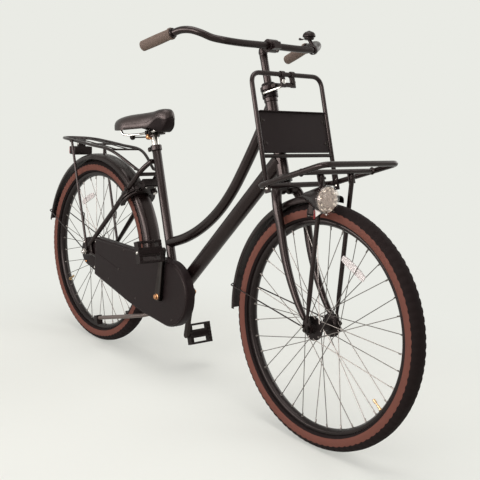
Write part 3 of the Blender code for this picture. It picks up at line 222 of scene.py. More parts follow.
def spline(pts, n=8):
    p = [np.asarray(q, float) for q in pts]
    h = [np.linalg.norm(p[i + 1] - p[i]) for i in range(len(p) - 1)]
    s = [(p[i + 1] - p[i]) / h[i] for i in range(len(h))]
    slope = [s[0]] + [(s[i - 1] * h[i] + s[i] * h[i - 1]) / (h[i] + h[i - 1]) for i in range(1, len(h))] + [s[-1]]
    out = []
    for i in range(len(h)):
        out += [hermite(p[i], p[i + 1], slope[i] * h[i], slope[i + 1] * h[i], k / n) for k in range(n)]
    return out + [p[-1]]


def bend(pts, radius, n=8):
    """A line with rounded corners"""
    pts = [np.asarray(p, float) for p in pts]
    out = [pts[0]]
    for i in range(1, len(pts) - 1):
        a, b = unit(pts[i - 1] - pts[i]), unit(pts[i + 1] - pts[i])
        ang = acos(max(-1, min(1, float(np.dot(a, b)))))
        d = min(radius / tan(ang / 2), np.linalg.norm(pts[i - 1] - pts[i]) * 0.49,
            np.linalg.norm(pts[i + 1] - pts[i]) * 0.49)
        p0, p1 = pts[i] + a * d, pts[i] + b * d
        for k in range(n + 1):
            t = k / n
            out.append(p0 * (1 - t) ** 2 + pts[i] * 2 * t * (1 - t) + p1 * t * t)
    return out + [pts[-1]]


def screw(center, axis, r, h, m=0, hexagon=False):
    """A screw head of radius r and height h in millimetres, round or as a nut on its bolt"""
    if hexagon:
        return [
            turned(mm((0, r), (h, r), (h + 0.6, r * 0.82)), center, axis, 6, m),
            turned(mm((0, r * 0.5), (h + 2, r * 0.5), (h + 2.6, r * 0.3)), center, axis, 14, m)]
    return [
        turned(mm((0, r), (h * 0.5, r * 0.98), (h, r * 0.62), (h, r * 0.4), (h * 0.45, r * 0.36)), center, axis, 20,
            m)]


# Materials
def lin(*rgb):
    return tuple(((c / 255) / 12.92 if c <= 10 else ((c / 255 + 0.055) / 1.055) ** 2.4) for c in rgb)


def feed(nt, target, inputs):
    """Sets a node's inputs, each a value or the output that is linked to it"""
    for key, value in inputs.items():
        if isinstance(value, bpy.types.NodeSocket):
            nt.links.new(value, target.inputs[key])
        else:
            target.inputs[key].default_value = value


def node(nt, kind, inputs=None, **settings):
    """Makes a node and returns its outputs"""
    made = nt.nodes.new("ShaderNode" + kind)
    for key, value in settings.items():
        setattr(made, key, value)
    feed(nt, made, inputs or {})
    return made.outputs


def material(name, rgb):
    mat = bpy.data.materials.new(name)
    mat.use_nodes = True
    mat.diffuse_color = (*rgb, 1)
    return mat, mat.node_tree, mat.node_tree.nodes["Principled BSDF"]


def blend(nt, share, low, high):
    """A mix of two colours, which are sockets 6 and 7"""
    return node(nt, "Mix", {0: share, 6: (*low, 1), 7: (*high, 1)}, data_type="RGBA")[2]


def bumped(nt, height, strength, depth):
    return node(nt, "Bump", {"Strength": strength, "Distance": depth, "Height": height})["Normal"]


# Highlights on all that isn't metal are slightly warm, as in the photograph
WARM = (1, 0.84, 0.81, 1)


def surface(name, rgb, rough=0.5, metal=0, vary=0.18, scale=30, rough_vary=0.07, grain=700, bump=0.08, depth=0.0002,
        spec=0.5, cells=False, second=None):
    """A coloured surface whose tone and shine vary over a large noise, with a fine grain"""
    mat, nt, skin = material(name, rgb)
    at = node(nt, "TexCoord")["Object"]
    big = node(nt, "TexNoise", {"Scale": scale, "Detail": 5, "Vector": at})["Fac"]
    low, high = [c * (1 - vary) for c in rgb], second or [min(1, c * (1 + vary)) for c in rgb]
    shine = node(nt, "MapRange",
        {"From Min": 0.3, "From Max": 0.7, "To Min": max(0.03, rough - rough_vary),
            "To Max": min(1, rough + rough_vary), "Value": big})["Result"]
    if cells:
        fine = node(nt, "TexVoronoi", {"Scale": grain, "Vector": at})["Distance"]
    else:
        fine = node(nt, "TexNoise", {"Scale": grain, "Detail": 3, "Vector": at})["Fac"]
    feed(nt, skin,
        {"Base Color": blend(nt, big, low, high), "Roughness": shine, "Metallic": metal, "Specular IOR Level": spec,
            "Specular Tint": WARM if metal < 0.5 else (1, 1, 1, 1), "Normal": bumped(nt, fine, bump, depth)})
    return mat


def glassy(name, rgb, rough, clear, cells, bump):
    """Moulded plastic that lets some light through, with small cells"""
    mat, nt, skin = material(name, rgb)
    at = node(nt, "TexCoord")["Object"]
    fleck = node(nt, "TexNoise", {"Scale": 120, "Vector": at})["Fac"]
    shine = node(nt, "MapRange",
        {"To Min": max(0.01, rough - 0.03), "To Max": rough + 0.03, "Value": fleck})["Result"]
    fine = node(nt, "TexVoronoi", {"Scale": cells, "Vector": at})["Distance"]
    feed(nt, skin,
        {"Transmission Weight": clear, "IOR": 1.49, "Base Color": blend(nt, fleck, [c * 0.93 for c in rgb], rgb),
            "Roughness": shine, "Normal": bumped(nt, fine, bump, 0.0015)})
    return mat


def clear_shell(name, tint, rough):
    """A thin clear cover that mirrors more towards its edges"""
    mat, nt, skin = material(name, tint)
    nt.nodes.remove(skin)
    at = node(nt, "TexCoord")["Object"]
    wave = node(nt, "TexWave", {"Scale": 60, "Distortion": 1.5, "Vector": at}, bands_direction="Y")["Fac"]
    normal = bumped(nt, wave, 0.12, 0.0005)
    facing = node(nt, "LayerWeight", {"Blend": 0.5, "Normal": normal})["Facing"]
    edge = node(nt, "Math", {0: facing, 1: 4}, operation="POWER")[0]
    share = node(nt, "Math", {0: edge, 1: 0.8, 2: 0.035}, operation="MULTIPLY_ADD")[0]
    clear = node(nt, "BsdfTransparent", {"Color": (*tint, 1)})[0]
    gloss = node(nt, "BsdfGlossy", {"Roughness": rough, "Normal": normal})[0]
    feed(nt, nt.nodes["Material Output"], {"Surface": node(nt, "MixShader", {0: share, 1: clear, 2: gloss})[0]})
    return mat


PAINT = surface("frame_paint", lin(22, 14, 14), 0.27, scale=14, rough_vary=0.05, grain=1400, bump=0.06, spec=0.3)
CASE = surface("case_skin", lin(28, 21, 22), 0.44, scale=20, grain=2200, bump=0.16, depth=0.0003, spec=0.11)
TREAD = surface("tyre_tread", lin(27, 21, 21), 0.8, scale=60, grain=900, bump=0.25, depth=0.0004, spec=0.1)
WALL = surface("tyre_wall", lin(105, 62, 52), 0.78, scale=45, vary=0.16, grain=1100, bump=0.25, depth=0.0003,
    spec=0.25)
RIM = surface("rim_paint", lin(24, 20, 20), 0.3, scale=25, grain=1200, bump=0.05, spec=0.24)
STEEL = surface("bright_steel", (0.56, 0.53, 0.5), 0.24, 1, scale=80, vary=0.1, grain=1600, bump=0.05)
SPOKE = surface("spoke_steel", (0.16, 0.145, 0.135), 0.34, 1, scale=90, vary=0.2, grain=1500, bump=0.04)
HUB = surface("hub_black", lin(26, 22, 22), 0.32, 0, scale=50, grain=1300, bump=0.06, spec=0.16)
DARK = surface("dark_steel", (0.035, 0.029, 0.027), 0.34, 1, scale=50, vary=0.25, grain=1300, bump=0.1)
BRONZE = surface("warm_cap", (0.44, 0.22, 0.11), 0.34, 1, scale=60, vary=0.25, grain=1300, bump=0.08)
STAND_GREY = surface("stand_grey", lin(96, 87, 83), 0.42, scale=50, vary=0.2, grain=1200, bump=0.1, spec=0.3)
BRASS = surface("valve_brass", (0.4, 0.28, 0.16), 0.3, 1, scale=80, vary=0.15, grain=1500, bump=0.05)
GRIP = surface("grip_rubber", lin(98, 84, 76), 0.7, scale=40, vary=0.14, grain=1500, bump=0.28, depth=0.0004,
    cells=True, spec=0.3)
LEATHER = surface("saddle_leather", lin(24, 17, 17), 0.38, scale=26, vary=0.2, grain=2600, bump=0.05, depth=0.0003,
    cells=True, spec=0.45)
# A darker, duller copy of the saddle leather for the nose's underside: painted shade
SHADED_SKIRT = surface("saddle_skirt_painted_shade", lin(20, 13, 14), 0.55, scale=30, grain=2600, bump=0.1, depth=0.0002, spec=0.12)
PLASTIC = surface("black_plastic", lin(22, 16, 16), 0.4, scale=40, grain=1700, bump=0.18, depth=0.0002, spec=0.2)
CHROME = surface("lamp_chrome", (0.88, 0.85, 0.8), 0.1, 1, scale=60, vary=0.05, grain=900, bump=0.02)
CHAINMAT = surface("chain_steel", (0.16, 0.14, 0.12), 0.38, 1, scale=80, vary=0.3, grain=1200, bump=0.1)
WHITE = surface("bulb_white", (0.8, 0.79, 0.76), 0.4, scale=60, vary=0.04, grain=900, bump=0.03)


LENS = clear_shell("lamp_lens", (1, 0.97, 0.95), 0.03)
# The optic's colour swings from near black to near white in small cells: painted facet glints and reflections
OPTIC_PAINTED_GLINTS = surface("lamp_optic_painted_glints", (0.7, 0.52, 0.45), 0.2, 0.1, scale=420, vary=0.95, grain=420, bump=1, depth=0.0016,
    cells=True, second=(1, 0.93, 0.87))
RED = glassy("red_lens", (0.42, 0.015, 0.02), 0.12, 0.45, 500, 0.35)
REFLEX = glassy("reflector_clear", (0.86, 0.8, 0.79), 0.16, 0.25, 420, 0.6)


# Pieces: one mesh from shells, standing for a solid and riding on a body
def add(name, shells, mats, body, stands_for, bevel=0, sharp=34):
    me = bpy.data.meshes.new(name)
    verts, faces, idx, base = [], [], [], 0
    for v, f, m in shells:
        verts.append(np.asarray(v, float) + vec(SHIFT, 0, 0))
        faces += [tuple(i + base for i in q) for q in f]
        idx += [m] * len(f)
        base += len(v)
    me.from_pydata([tuple(p) for p in np.concatenate(verts)], [], faces)
    for mat in mats:
        me.materials.append(mat)
    me.polygons.foreach_set("material_index", idx)
    me.polygons.foreach_set("use_smooth", [True] * len(faces))
    bm = bmesh.new()
    bm.from_mesh(me)
    lim = radians(sharp)
    for e in bm.edges:
        if len(e.link_faces) == 2 and e.calc_face_angle(0) > lim:
            e.smooth = False
    bm.to_mesh(me)
    bm.free()
    ob = bpy.data.objects.new(name, me)
    bpy.context.scene.collection.objects.link(ob)
    if bevel:
        md = ob.modifiers.new("edges", "BEVEL")
        md.width = bevel
        md.segments = 2
        md.limit_method = "ANGLE"
        md.angle_limit = radians(38)
        md.harden_normals = True
    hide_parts(stands_for)
    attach(ob, body)
    return ob


# Tyres
def tyre(tag, cx, body):
    """A round tyre with tread blocks cut into its crown and a brown band on each wall"""
    steps, half_width, mid, half_height = 480, 0.0233, 0.2792, 0.0226
    tread_from, shoulder, groove = 0.2855, 0.0088, (0.004, 0.0075)
    band, band_side = (0.2655, 0.288), 0.0165
    prof = []
    base = mm((-9.7, 257.2), (-9.9, 261.2), (-13.5, 264))
    for k in range(31):
        a = radians(-138 + 276 * k / 30)
        y, z = sin(a), cos(a)
        prof.append((half_width * copysign(abs(y) ** 0.92, y), mid + half_height * copysign(abs(z) ** 0.92, z)))
    prof = base + [(y, min(r, WHEEL_R - 0.0002)) for y, r in prof] + both(base)[len(base):]
    loops = []
    for k in range(steps):
        ring = []
        for y, r in prof:
            cut, phase = 0, (k % 5) / 5 + (0 if y > 0 else 0.5)
            if r > tread_from and abs(y) > shoulder and phase % 1 < 0.35:
                cut = 0.0016
            elif r > tread_from and groove[0] < abs(y) < groove[1]:
                cut = 0.0011
            ring.append((y, r - cut))
        loops += wheel_loops(ring, cx, [2 * pi * k / steps])
    verts, faces = loft(loops, closed=True)[:2]
    wall, tread = [], []
    for f in faces:
        ys, rs = zip(*[prof[i % len(prof)] for i in f])
        side = max(rs) < band[1] and min(rs) > band[0] and max(np.abs(ys)) > band_side
        (wall if side else tread).append(f)
    ob = add(tag + "_tyre_skin", [(verts, tread, 0), (verts, wall, 1)], [TREAD, WALL], body, tag + "_tyre",
        sharp=50)
    bm = bmesh.new()
    bm.from_mesh(ob.data)
    bmesh.ops.remove_doubles(bm, verts=bm.verts, dist=1e-6)
    bm.to_mesh(ob.data)
    bm.free()


def rim(tag, cx, body):
    outer = mm((12.2, 260.3), (12.6, 259), (12.6, 254.5), (11.8, 252.8), (8.5, 250.8), (4, 247.8), (0, 247.2))
    prof = outer + [(-y, r) for y, r in outer[-2::-1]] + mm((-10.4, 260.4), (-10.2, 257), (10.2, 257),
        (10.4, 260.4))
    shells = [loft(wheel_loops(prof, cx, 2 * pi * np.arange(180) / 180), closed=True)]
    c = vec(cx, 0, WHEEL_R)
    for k in range(36):
        a = 2 * pi * k / 36
        d, side = polar(a), Y if k % 2 else -Y
        shells.append(
            turned(mm((0, 3), (1.6, 3), (2.2, 2.1), (10.5, 1.9), (11.2, 1.5)), c + d * 0.2486 + side * 0.0016,
                unit(side * 0.12 - d), 10, 1))
    # Valve
    d = polar(radians(-36 if tag == "front" else 215))
    shells.append(turned(
        mm((0, 5.2), (1.8, 5.2), (2.2, 3.2), (12, 3.2), (12.5, 2.4), (20, 2.4), (20.4, 3.8), (29, 3.6),
            (30.2, 2.6)),
        c + d * 0.2474,
        -d,
        18,
        2))
    add(tag + "_rim_ring", shells, [RIM, SPOKE, BRASS], body, tag + "_rim")


def hub(tag, cx, body, flange, old, inner):
    c = vec(cx, 0, WHEEL_R)
    end, marks, waist = ((9.6, ((-3, 12), (-1.8, 18), (-1.4, 29.8), (1.4, 29.8), (2.2, 19), (6, 13.5)),
        12.42) if tag == "front" else (13, ((-6, 14), (-3, 20), (-1.4, 29.8), (1.4, 29.8), (3, 23.5), (8, 21.5)),
            21.5))
    half = [(0.001 - old, inner), (0.001 - old, end / 1000)] + [(t - flange, r) for t, r in mm(*marks)]
    shells = [sleeve(half + [(0, waist / 1000)] + both(half)[len(half):], c, Y, 48)]
    step = radians(10)
    for k in range(18):
        for side in (-1, 1):
            ha = 2 * step * k + (step if side > 0 else 0)
            out = k % 2 == 0
            ra = ha + (6 if out else -6) * step
            y0 = side * (flange + (0.0024 if out else -0.0024))
            p0 = c + vec(0.0258 * cos(ha), y0, 0.0258 * sin(ha))
            p1 = c + vec(0.247 * cos(ra), side * 0.0016, 0.247 * sin(ra))
            shells += [
                tube([p0, p0 * 0.5 + p1 * 0.5, p1], 0.00105, 7, 1),
                turned(mm((0, 1.2), (0.7, 2), (1.1, 2), (1.5, 1.1)), p0 - Y * side * (0.0006 if out else -0.0006),
                    Y * side * (1 if out else -1), 8, 1)]
    add(tag + "_hub_spokes", shells, [HUB, SPOKE], body, tag + "_hub")


def axle(tag, cx, r, outer, nut, body):
    c = vec(cx, 0, WHEEL_R)
    shells = [turned([(-outer, r * 0.8), (-outer + 0.001, r), (outer - 0.001, r), (outer, r * 0.8)], c, Y, 20)]
    for s in (-1, 1):
        q = c + Y * s * (nut - 0.0088)
        shells += [
            turned(mm((0, 8.8), (1.2, 8.8)), q, Y * s, 24),
            turned(mm((1.2, 8), (7.2, 8), (8.6, 6.6)), q, Y * s, 6)]
    add(tag + "_axle_nuts", shells, [DARK if tag == "front" else STEEL], body, tag + "_axle")


for tag, cx, body in (("front", WHEELBASE, "front_wheel"), ("rear", 0, "rear_wheel")):
    tyre(tag, cx, body)
    rim(tag, cx, body)
hub("front", WHEELBASE, "front_wheel", 0.031, 0.0437, 0.0052)
hub("rear", 0, "rear_wheel", 0.026, 0.049, 0.0057)
axle("front", WHEELBASE, 0.0046, 0.0655, 0.0615, "steering")
axle("rear", 0, 0.0051, 0.0745, 0.07, "frame")


def wheel_reflector(tag, cx, angle, y, body):
    d = polar(angle)
    t = vec(-sin(angle), 0, cos(angle))
    c = vec(cx, y, WHEEL_R) + d * 0.185
    ends = []
    for s in np.linspace(-1, 1, 13):
        w = 0.0105 * (1 - 0.35 * abs(s) ** 4)
        ends.append(np.array([c + t * 0.0405 * s + d * (w * q - 0.0016 * s * s) + Y * p for p, q in both(
            [(-0.0022, -0.9), (-0.0025, 0), (-0.0022, 0.9)])]))
    add(tag + "_reflector_clip", [loft(ends, 0)], [REFLEX], body, tag + "_spoke_reflector", bevel=0.0006)


wheel_reflector("front", WHEELBASE, radians(62), -0.0049, "front_wheel")
wheel_reflector("rear", 0, radians(118), -0.0029, "rear_wheel")


# Frame
BB = vec(BB_X, 0, BB_Z)
top_pts = [
    on_axis(0.116),
    *mm((776, 0, 778), (727.9, 0, 689.2), (703.1, 0, 647.2), (666, 0, 589.2), (614, 0, 527.1), (525.3, 0, 456.6),
        (461.4, 0, 422.5)),
    on_seat(0.395)]
seat_len = np.linalg.norm(on_seat(SEAT_TOP_Z) - BB)
shells = [
    sleeve(
        mm((-75.2, 17.2), (-74.8, 17.5), (-66.8, 17.5), (-65, 16), (122, 16), (124, 17.5), (132.6, 17.5),
            (133, 17.2), (133, 14), (-75.2, 14)),
        on_axis(0),
        STEER_UP,
        48),
    tube(spline(top_pts, 8), 0.0148, 28),
    tube([on_axis(-0.0245), BB], 0.0206, 36),
    sleeve([(0, 0.0135), (seat_len - 0.0008, 0.0135), (seat_len, 0.013), (seat_len, 0.0115), (0, 0.0115)], BB,
        SEAT_DIR, 36),
    sleeve(mm((-34, 19), (-33.6, 20), (33.6, 20), (34, 19), (34, 15), (-34, 15)), BB, Y, 44)]
for s in (-1, 1):
    shells.append(
        sleeve(mm((0, 17.2), (0.3, 17.8), (2.4, 17.8), (3.2, 16.5), (3.2, 9), (0, 9)), BB + Y * s * 0.0312, Y * s,
            40, 1))
g = [on_axis(-0.062, -0.01), on_axis(-0.01, -0.01), vec(0.795, 0, 0.664), vec(0.812, 0, 0.648)]
shells.append(plate([(p[0], p[2]) for p in g], -0.0028, 0.0028))
add("frame_tubes", shells, [PAINT, DARK], "frame", "main_frame", bevel=0.0004)

SEAT_STAY = mm((10, 53.3, 324), (134, 44.5, 452), (240, 38, 565), (274, 30, 604), (296, 15, 630))
CHAIN_STAY = mm((18, 51.7, 300), (120, 47.5, 290), (270, 37.5, 276), (370, 29.8, 265), (440, 24, 257))


def stay(line, s, marks, radii):
    pts = spline(on_side(line, s))
    return tube(pts, np.interp(np.linspace(0, 1, len(pts)), marks, radii), 20, round_ends=0.004)


shells = []
for s in (-1, 1):
    shells += [
        stay(SEAT_STAY, s, [0, 0.15, 1], [0.0062, 0.0076, 0.0076]),
        stay(CHAIN_STAY, s, [0, 0.2, 1], [0.0045, 0.0068, 0.0085])]
    y0, y1 = sorted((s * 0.0493, s * 0.0543))
    shells.append(
        plate(arc(0, 0.014, range(100, 301, 10)) + mm((30, 293), (34, 304), (22, 338), (12, 340)), y0, y1))
shells += [
    tube(mm((372, -34, 265), (372, 34, 265)), 0.007, 20),
    tube(mm((260, -34, 586), (260, 34, 586)), 0.0058, 20),
    tube(mm((294, -18, 628.5), (294, 18, 628.5)), 0.0075, 20)]
add("stay_tubes", shells, [PAINT], "frame", "rear_stays", bevel=0.0005)

# Fork
shells = [sleeve(
    mm((-100, 15.5), (-99.2, 16.5), (-86.5, 16.5), (-85, 15), (-84, 12.5), (168, 12.5), (168, 10.4), (-100, 10.4)),
    on_axis(0),
    STEER_UP)]
for s in (-1, 1):
    pts = [on_axis(-0.1, 0, s * 0.006), on_axis(-0.1035, 0.001, s * 0.031)] + on_side(
        mm((883.5, 41.5, 595), (894, 45.5, 568), (908.7, 45.9, 530), (920.7, 45.9, 490), (936.1, 45.9, 448),
            (953.8, 45.9, 411), (987, 45.9, 355.7), (1014, 45.9, 321)),
        s)
    rad = [0.0145, 0.0138, 0.0124, 0.0118, 0.0112, 0.0108, 0.0102, 0.0096, 0.0084, 0.0068]
    line = spline(pts, 6)
    shells.append(
        tube(line, np.interp(np.linspace(0, len(pts) - 1, len(line)), range(len(pts)), rad), 24, round_ends=0.005))
    y0, y1 = sorted((s * 0.044, s * 0.048))
    shells.append(
        plate(arc(WHEELBASE, 0.012, range(-150, 91, 12)) + mm((1019, 333), (1011, 323), (1009.5, 306), (1012, 299)),
            y0, y1))
add("fork_blades", shells, [PAINT], "steering", "fork", bevel=0.0005)

# Headset
add("headset_bottom",
    [sleeve(
        mm((-83.2, 17.5), (-82.6, 20.5), (-80.6, 20.6), (-80, 19.6), (-79, 19.6), (-78.6, 20.5), (-76.2, 20.5),
            (-75.5, 19), (-75.5, 12.9), (-83.2, 12.9)),
        on_axis(0),
        STEER_UP,
        44)], [HUB], "frame", "headset_lower")
add("headset_top",
    [sleeve(
        mm((133.3, 13), (133.3, 19.2), (134.5, 20.2), (143, 20.2), (144, 18.8), (145.2, 18.8), (146, 20.6),
            (150.5, 20.6), (151.5, 19), (164, 18.6), (165.5, 18), (170, 17.6), (171.6, 16), (171.6, 13)),
        on_axis(0),
        STEER_UP,
        44)], [HUB], "steering", "headset_upper")

# Stem, bar, grips, bell
CLAMP = vec(0.7818, 0, 0.9676)
shells = [
    turned(mm((20, 9.6), (22, 10), (244, 10), (252, 10.4)), on_axis(0), STEER_UP, 32),
    tube(spline([on_axis(0.238), on_axis(0.256, 0.002), on_axis(0.266, 0.012), CLAMP], 6),
        [0.0104] * 4 + [0.0118] * 8 + [0.0116] * 7, 28),
    sleeve(both(mm((-14.5, 10), (-14.5, 15.6), (-13.6, 16.5))), CLAMP, Y),
    block(CLAMP + STEER_FWD * 0.0165 - STEER_UP * 0.005, (14, 23, 18), STEER_FWD, STEER_UP),
    turned(mm((249.5, 8.5), (256, 8.5), (257.5, 7), (257.5, 4.5), (254.5, 4)), on_axis(0, -0.001), STEER_UP, 24),
    *screw(CLAMP + STEER_FWD * 0.0185 - STEER_UP * 0.0175, -STEER_UP, 4.6, 3.2, 1, True),
    *screw(CLAMP + STEER_FWD * 0.0185 + STEER_UP * 0.0025, STEER_UP, 4.4, 3, 1)]
add("stem_quill", shells, [PAINT, DARK], "steering", "stem", bevel=0.0008)


def bar_half(s):
    return on_side(
        mm((782.8, 120, 967.6), (780, 150, 969.2), (765, 176, 973.5), (747.7, 200, 983.4), (730, 213, 988.5),
            (706, 222, 988.5), (674, 229, 980), (648, 234.5, 971.5)),
        s)


def grip_line(s):
    return vec(0.674, s * 0.229, 0.98), vec(0.5786, s * 0.249, 0.948)


pts = spline(
    list(reversed(bar_half(-1))) + [(CLAMP[0], -0.03, CLAMP[2]), (CLAMP[0], 0.03, CLAMP[2])] + bar_half(1),
    8)
reach = [(b - a) * 0.62 for a, b in (grip_line(-1), grip_line(1))]
pts = [pts[0] + reach[0]] + pts + [pts[-1] + reach[1]]
add("bar_tube", [tube(pts, 0.0088, 24)], [PAINT], "steering", "handlebar")
for tag, s in SIDES:
    a, b = grip_line(s)
    d = unit(b - a)
    span = np.linalg.norm(b - a)
    prof = mm((0, 9.4), (0, 14), (0.8, 14.7), (5.2, 14.8), (6.2, 14), (7.8, 12.8))
    for k in range(60):
        t = 0.0085 + (span - 0.0165) * k / 59
        base_r = 0.0127 + 0.0008 * sin(pi * min(1, t / span)) + 0.0003 * (t / span)
        prof.append((t, base_r - (0.00035 if k % 2 else 0)))
    prof += [(span - 0.0065, 0.0133), (span - 0.002, 0.0131), (span - 0.0006, 0.0116), (span, 0.009),
        (span, 0.0004), (span - 0.003, 0.0004), (span - 0.003, 0.0094)]
    add("grip_sleeve_" + tag,
        [sleeve(prof, a, d), sleeve(mm((-5.2, 9.2), (-5, 12.2), (-0.8, 12.4), (-0.4, 9.2)), a, d, 32, 1)],
        [GRIP, PLASTIC], "steering", "grip_" + tag, sharp=50)

BELL = vec(0.766, 0.146, 1.001)
FOOT = vec(0.78, 0.15, 0.9692)
up = unit((-0.1, 0, 1))
shells = [
    sleeve(both(mm((-5.2, 10.2), (-5, 12.2), (-4, 12.6))), FOOT, unit((-0.301, 0.949, 0.1)), 32),
    tube(
        spline([FOOT + vec(-0.002, -0.001, 0.0108), FOOT + vec(-0.008, -0.003, 0.02), BELL - vec(0, 0, 0.004)], 5),
        0.0048,
        18),
    turned(mm((-6.5, 10), (-5.8, 12.2), (-3.5, 13.5), (-1.5, 13.5), (-0.8, 12), (-0.5, 4), (0, 4)), BELL, up, 36)]
dome = mm((0.8, 16), (1.4, 17), (2.4, 17.2))
for k in range(1, 13):
    a = radians(90 * k / 13)
    dome.append((0.0024 + 0.0134 * sin(a), 0.0172 * cos(a) ** 0.8))
shells.append(turned(dome + mm((15.9, 4.2), (16.8, 4), (17.1, 2.6)), BELL, up, 44))
add("bell_dome", shells, [PLASTIC], "steering", "bell")
lever = [BELL + q for q in mm((-14.7, -4.9, -4.3), (-16.5, -5.7, -5.2), (-20, -7, -5.6), (-27, -10, -4.4))]
add("bell_thumb",
    [tube(spline(lever, 4), [0.0014] * 3 + [0.0016] * 3 + [0.002] * 3 + [0.0026, 0.0031, 0.0033, 0.0026], 14)],
    [PLASTIC], "bell_thumb_lever", "bell_lever")

# Seat collar, post and saddle
shells = [
    sleeve(both(mm((-8, 14.3), (-8, 16), (-7.2, 16.8))), on_seat(0.669), SEAT_DIR),
    *[block(on_seat(0.669, 0.0205, y), (10, 7, 13), SEAT_BACK, SEAT_DIR) for y in (0.0094, -0.0094)],
    *screw(on_seat(0.669, 0.0215, -0.0124), -Y, 4.2, 2.6, 1),
    *screw(on_seat(0.669, 0.0215, 0.0124), Y, 4.6, 3, 1, True),
    tube([on_seat(0.669, 0.0215, -0.0125), on_seat(0.669, 0.0215, 0.0125)], 0.0026, 14, 1)]
add("seat_collar_clamp", shells, [PAINT, DARK], "frame", "seat_collar", bevel=0.0006)
add("seat_post_tube",
    [turned(mm((0, 10.6), (1, 11.2), (131, 11.2), (134, 10), (149, 10), (150, 9.2)), on_seat(0.575), SEAT_DIR, 36)],
    [STEEL], "saddle", "seat_post")

TILT = radians(12)
TILT_U = polar(TILT)
TILT_V = vec(-sin(TILT), 0, cos(TILT))
SADDLE_O = vec(0.2865, 0, 0.7195)


def sad(u, y, v):
    return SADDLE_O + TILT_U * u + TILT_V * v + Y * y


# Place along the saddle, half width, top and bottom
table = np.array(
    mm((-135, 30, 46, 30), (-127, 56, 52, 23), (-113, 70, 56.5, 16.5), (-90, 75, 58.5, 12.5), (-64, 73, 58.5, 10.5),
        (-38, 60, 57.5, 9.5), (-8, 42, 56.5, 8.5), (25, 31, 56, 8), (56, 26.5, 57, 8.5), (74, 22.5, 55, 12),
        (83, 16, 50, 19), (87, 8, 43, 27)))
dist = np.concatenate([[0], np.cumsum(np.linalg.norm(np.diff(table[:, :3], axis=0), axis=1))])
h = np.diff(dist)[:, None]
grade = np.diff(table, axis=0) / h
slope = np.vstack([grade[:1], (grade[:-1] * h[1:] + grade[1:] * h[:-1]) / (h[1:] + h[:-1]), grade[-1:]])


def saddle_row(t):
    """Place along the saddle, half width, top and bottom at a distance t along its edge"""
    i = min(max(int(np.searchsorted(dist, t) - 1), 0), len(h) - 1)
    row = hermite(table[i], table[i + 1], slope[i] * h[i], slope[i + 1] * h[i], (t - dist[i]) / h[i])
    return np.interp(t, dist, table[:, 0]), *row[1:]


loops, under = [], []
seam_pts = {1: [], -1: []}
for t in np.linspace(0, dist[-1], 72):
    u, w, top, bot = saddle_row(t)
    nose = ease((u - 0.004) / 0.046) * min(1, max(0, (0.0872 - u) / 0.028)) ** 0.8
    edge = bot + 0.0205 * nose
    ring = []
    for k in range(41):
        a = pi * k / 40
        c, sn = cos(a), sin(a)
        y = w * copysign(abs(c) ** 0.72, c)
        v = edge + (top - edge) * abs(sn) ** 0.62
        v -= 0.001 * exp(-((y / 0.01) ** 2)) * min(1, t / 0.06) * min(1, (dist[-1] - t) / 0.04)
        ring.append(sad(u, y, v))
        if k in (2, 38):
            seam_pts[1 if k == 2 else -1].append(sad(u, y * 1.004, v))
    low, wb = bot - 0.0185 * nose, w * (1 - 0.3 * nose)
    inner, wi = bot + (top - bot) * 0.36, w * 0.86
    inner = max(inner + (low + 0.0026 - inner) * ease((u - 0.04) / 0.016), edge + 0.0026)
    half = [(-w * 0.985, edge - 0.0006), (-w * 0.95, edge - 0.0006), (-wi, edge + 0.0024), (-wi * 0.985, inner)]
    ring += [sad(u, y, v) for y, v in half + [(0, inner + 0.001)] + both(half)[4:]]
    # The nose's underside, turned inwards, takes the darker leather copy as painted shade
    if nose > 0 and u < 0.0865:
        half = [(-w * 0.975, edge + 0.0004), (-w * 0.965 + (w * 0.965 - wb) * 0.4, edge - (edge - low) * 0.5),
            (-wb, low + 0.0008), (-wb * 0.95, low)]
        lip = [(w * 0.8, edge + 0.003), (-w * 0.8, edge + 0.003)]
        under.append(np.array([sad(u * (1 - 0.012 * nose), y, v) for y, v in both(half) + lip]))
    loops.append(np.array(ring))
shells = [loft(loops), loft(under, 1)] + [tube(seam_pts[s][3:-4], 0.0006, 6) for s in (-1, 1)]
cover = add("saddle_top", shells, [LEATHER, SHADED_SKIRT], "saddle", "saddle_cover", sharp=60)


def base_row(t):
    u, w, top, bot = saddle_row(t)
    inner = bot + (top - bot) * 0.36
    wi = w * 0.8
    lo, hi = inner - 0.0052, inner - 0.0004
    rib = 0.001 if int(t / 0.012) % 2 else 0
    half = [(-wi, lo + 0.001), (-wi * 0.94, lo), (-wi * 0.3, lo + rib)]
    return np.array([sad(u, y, v) for y, v in both(half) + [(wi, hi), (-wi, hi)]])


add("saddle_shell", [loft([base_row(t) for t in np.linspace(dist[1], dist[9], 60)])], [PLASTIC], "saddle",
    "saddle_base")

rail_half = mm((-111, 50, 24), (-103, 48, 2), (-80, 40, -3), (-45, 24, -4.5), (-20, 21.5, -4.5), (25, 21.5, -4.5),
    (44, 17, -1), (58, 11, 11.8), (62, 0, 19.6))
rail_pts = [sad(*p) for p in on_side(rail_half, -1) + on_side(rail_half[-2::-1], 1)]
shells = [tube(bend(rail_pts, 0.01, 6), 0.0034, 18)]
for s in (-1, 1):
    shells.append(
        turned(mm((0, 3.4), (0, 6.6), (1, 7.4), (4, 7.4), (5, 6.2)), sad(-0.11, s * 0.0498, 0.019), TILT_V, 24, 1))
add("saddle_rail_wire", shells, [STEEL, PLASTIC], "saddle", "saddle_rails")

